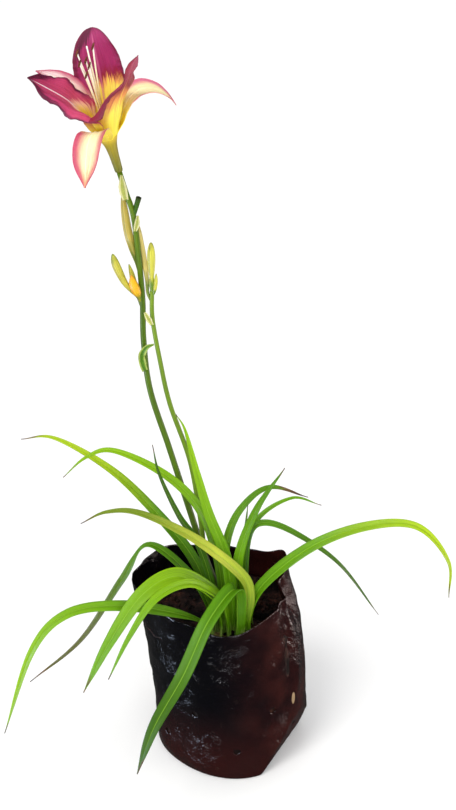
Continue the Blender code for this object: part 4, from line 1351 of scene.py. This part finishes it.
def thread_line(foot_turn, high, behind, sideways):
    """Five places along a thread, which leans out more and more towards its tip."""
    line = []
    for share in (0, 0.25, 0.5, 0.75, 1):
        ring = FOOT_RING * (1 - share)
        lean = share ** 1.4
        line.append(in_bloom(THREAD_FOOT + (high - THREAD_FOOT) * share,
                             ring * math.cos(foot_turn) + behind * lean,
                             ring * math.sin(foot_turn) + sideways * lean))
    return line


def boat(angle, share):
    return 1 - 0.25 * abs(math.cos(angle)) ** 4


for i, tip_place in enumerate(THREAD_TIPS):
    line = thread_line(math.radians(THREAD_SPACING * i + FIRST_THREAD), *tip_place)
    thread = tube_mesh(line, THREAD_RADII, 10, 40)
    is_style = i == len(THREAD_TIPS) - 1
    name = "style" if is_style else "filament_%d" % (i + 1)
    settle(name, thread, [CREAM_THREAD], ["bloom_stamens"])
    if not is_style:
        tip = line[-1]
        anther = tube_mesh([tip - ANTHER_HALF, tip, tip + ANTHER_HALF], ANTHER_RADII, 14, 18, boat)
        settle("anther_%d" % (i + 1), anther, [BROWN_ANTHER], ["bloom_stamens"])

# %% [markdown]
# ## The crown
# The crown is the short stock that everything grows from. Only its top shows between the leaf
# feet, so the solid stays, with a pale fibrous finish.

# %% The crown's finish


def crown_finish():
    finish = Finish("crown_fibres", Specular_IOR_Level=0.3)
    spot = finish.place()
    fibres = finish.cloud(finish.stretch(spot, (1, 1, 0.2)), 260, detail=5, rough=0.65)
    colour = finish.ramp(fibres, [(0.30, (46, 30, 18)), (0.50, (96, 82, 44)), (0.75, (150, 150, 84))])
    return finish.show(colour, finish.vary(fibres, 0.9, 0.65), fibres, depth=0.6 * MM)


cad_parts["crown"].material_slots[0].material = crown_finish()

# %% [markdown]
# ## Floor and light
# The plant stands on a plain white floor that fills the picture. The light is a broad soft sky,
# a weak sun from the upper left and a soft fill from the front. The film gets its highlights
# from five panels that show only as reflections: a cool one on the left and a warm one on the
# right, and three low ones near the floor.

# %% The floor


def floor_finish():
    finish = Finish("white_floor", Specular_IOR_Level=0.1)
    spot = finish.place()
    faint = finish.cloud(spot, 3, detail=2)
    colour = finish.blend(faint, paint(247, 247, 248), paint(252, 252, 252))
    return finish.show(colour, finish.vary(faint, 0.85, 0.95), faint, depth=0.1 * MM)


FLOOR_HALF = 9            # metres
floor_mesh = bmesh.new()
bmesh.ops.create_grid(floor_mesh, x_segments=2, y_segments=2, size=FLOOR_HALF)
floor_data = bpy.data.meshes.new("floor")
floor_mesh.to_mesh(floor_data)
floor_mesh.free()
floor_data.materials.append(floor_finish())
floor = bpy.data.objects.new("floor", floor_data)
bpy.context.scene.collection.objects.link(floor)
floor.visible_glossy = False

# %% The lights
SUN_STRENGTH = 1.3
SKY_STRENGTH = 0.78
SKY_IN_REFLECTIONS = 0.06
AREA_LIGHTS = {           # power, colour, place, what it is aimed at, width and height
    "cool_panel": (9, (0.72, 0.82, 1.0), (-1.1, -0.9, 0.9), (-0.03, 0, 0.1), (0.5, 0.9)),
    "front_fill": (13, (1.0, 1.0, 1.0), (0.1, -1.5, 0.8), (0, 0, 0.3), (1.4, 1.4)),
    "warm_panel": (5, (1.0, 0.80, 0.70), (1.3, -0.5, 0.5), (0.03, 0, 0.1), (0.3, 0.9)),
    "low_left": (4.5, (0.66, 0.78, 1.0), (-0.6, -0.22, 0.12), (-0.05, 0, 0.08), (0.16, 0.22)),
    "low_right": (2.2, (1.0, 0.88, 0.84), (0.6, 0.12, 0.14), (0.05, 0, 0.1), (0.14, 0.22)),
    "low_front": (1.0, (0.95, 0.95, 1.0), (-0.05, -0.7, 0.16), (0, 0, 0.08), (0.12, 0.2)),
}


def light(name, kind, energy, colour, place, aim):
    data = bpy.data.lights.new(name, kind)
    data.energy = energy
    data.color = colour
    lamp = bpy.data.objects.new(name, data)
    lamp.location = place
    lamp.rotation_euler = (Vector(aim) - Vector(place)).to_track_quat("-Z", "Y").to_euler()
    bpy.context.scene.collection.objects.link(lamp)
    return lamp


sun = light("sun", "SUN", SUN_STRENGTH, (1.0, 0.98, 0.95), (-1.2, -1.6, 2.6), (0, 0, 0))
sun.data.angle = math.radians(25)
for name, (power, colour, place, aim, size) in AREA_LIGHTS.items():
    panel = light(name, "AREA", power, colour, place, aim)
    panel.data.shape = "RECTANGLE"
    panel.data.size, panel.data.size_y = size
    if name == "front_fill":
        panel.visible_glossy = False
    else:
        panel.visible_diffuse = False
        panel.visible_camera = False
print("lights:", 1 + len(AREA_LIGHTS))

# %% [markdown]
# A white sky would be mirrored in the glossy film and turn it grey. A darker sky would dim the
# whole plant, so the sky is dimmed for reflections alone: the Light Path node tells them apart.

# %% The sky
world = bpy.data.worlds.new("sky")
world.use_nodes = True
sky = world.node_tree.nodes["Background"]
sky.inputs["Color"].default_value = (1, 1, 1, 1)
ray = world.node_tree.nodes.new("ShaderNodeLightPath")
dim = world.node_tree.nodes.new("ShaderNodeMapRange")
dim.inputs["To Min"].default_value = SKY_STRENGTH
dim.inputs["To Max"].default_value = SKY_IN_REFLECTIONS
world.node_tree.links.new(ray.outputs["Is Glossy Ray"], dim.inputs["Value"])
world.node_tree.links.new(dim.outputs["Result"], sky.inputs["Strength"])
bpy.context.scene.world = world
bpy.context.scene.view_settings.view_transform = "Standard"
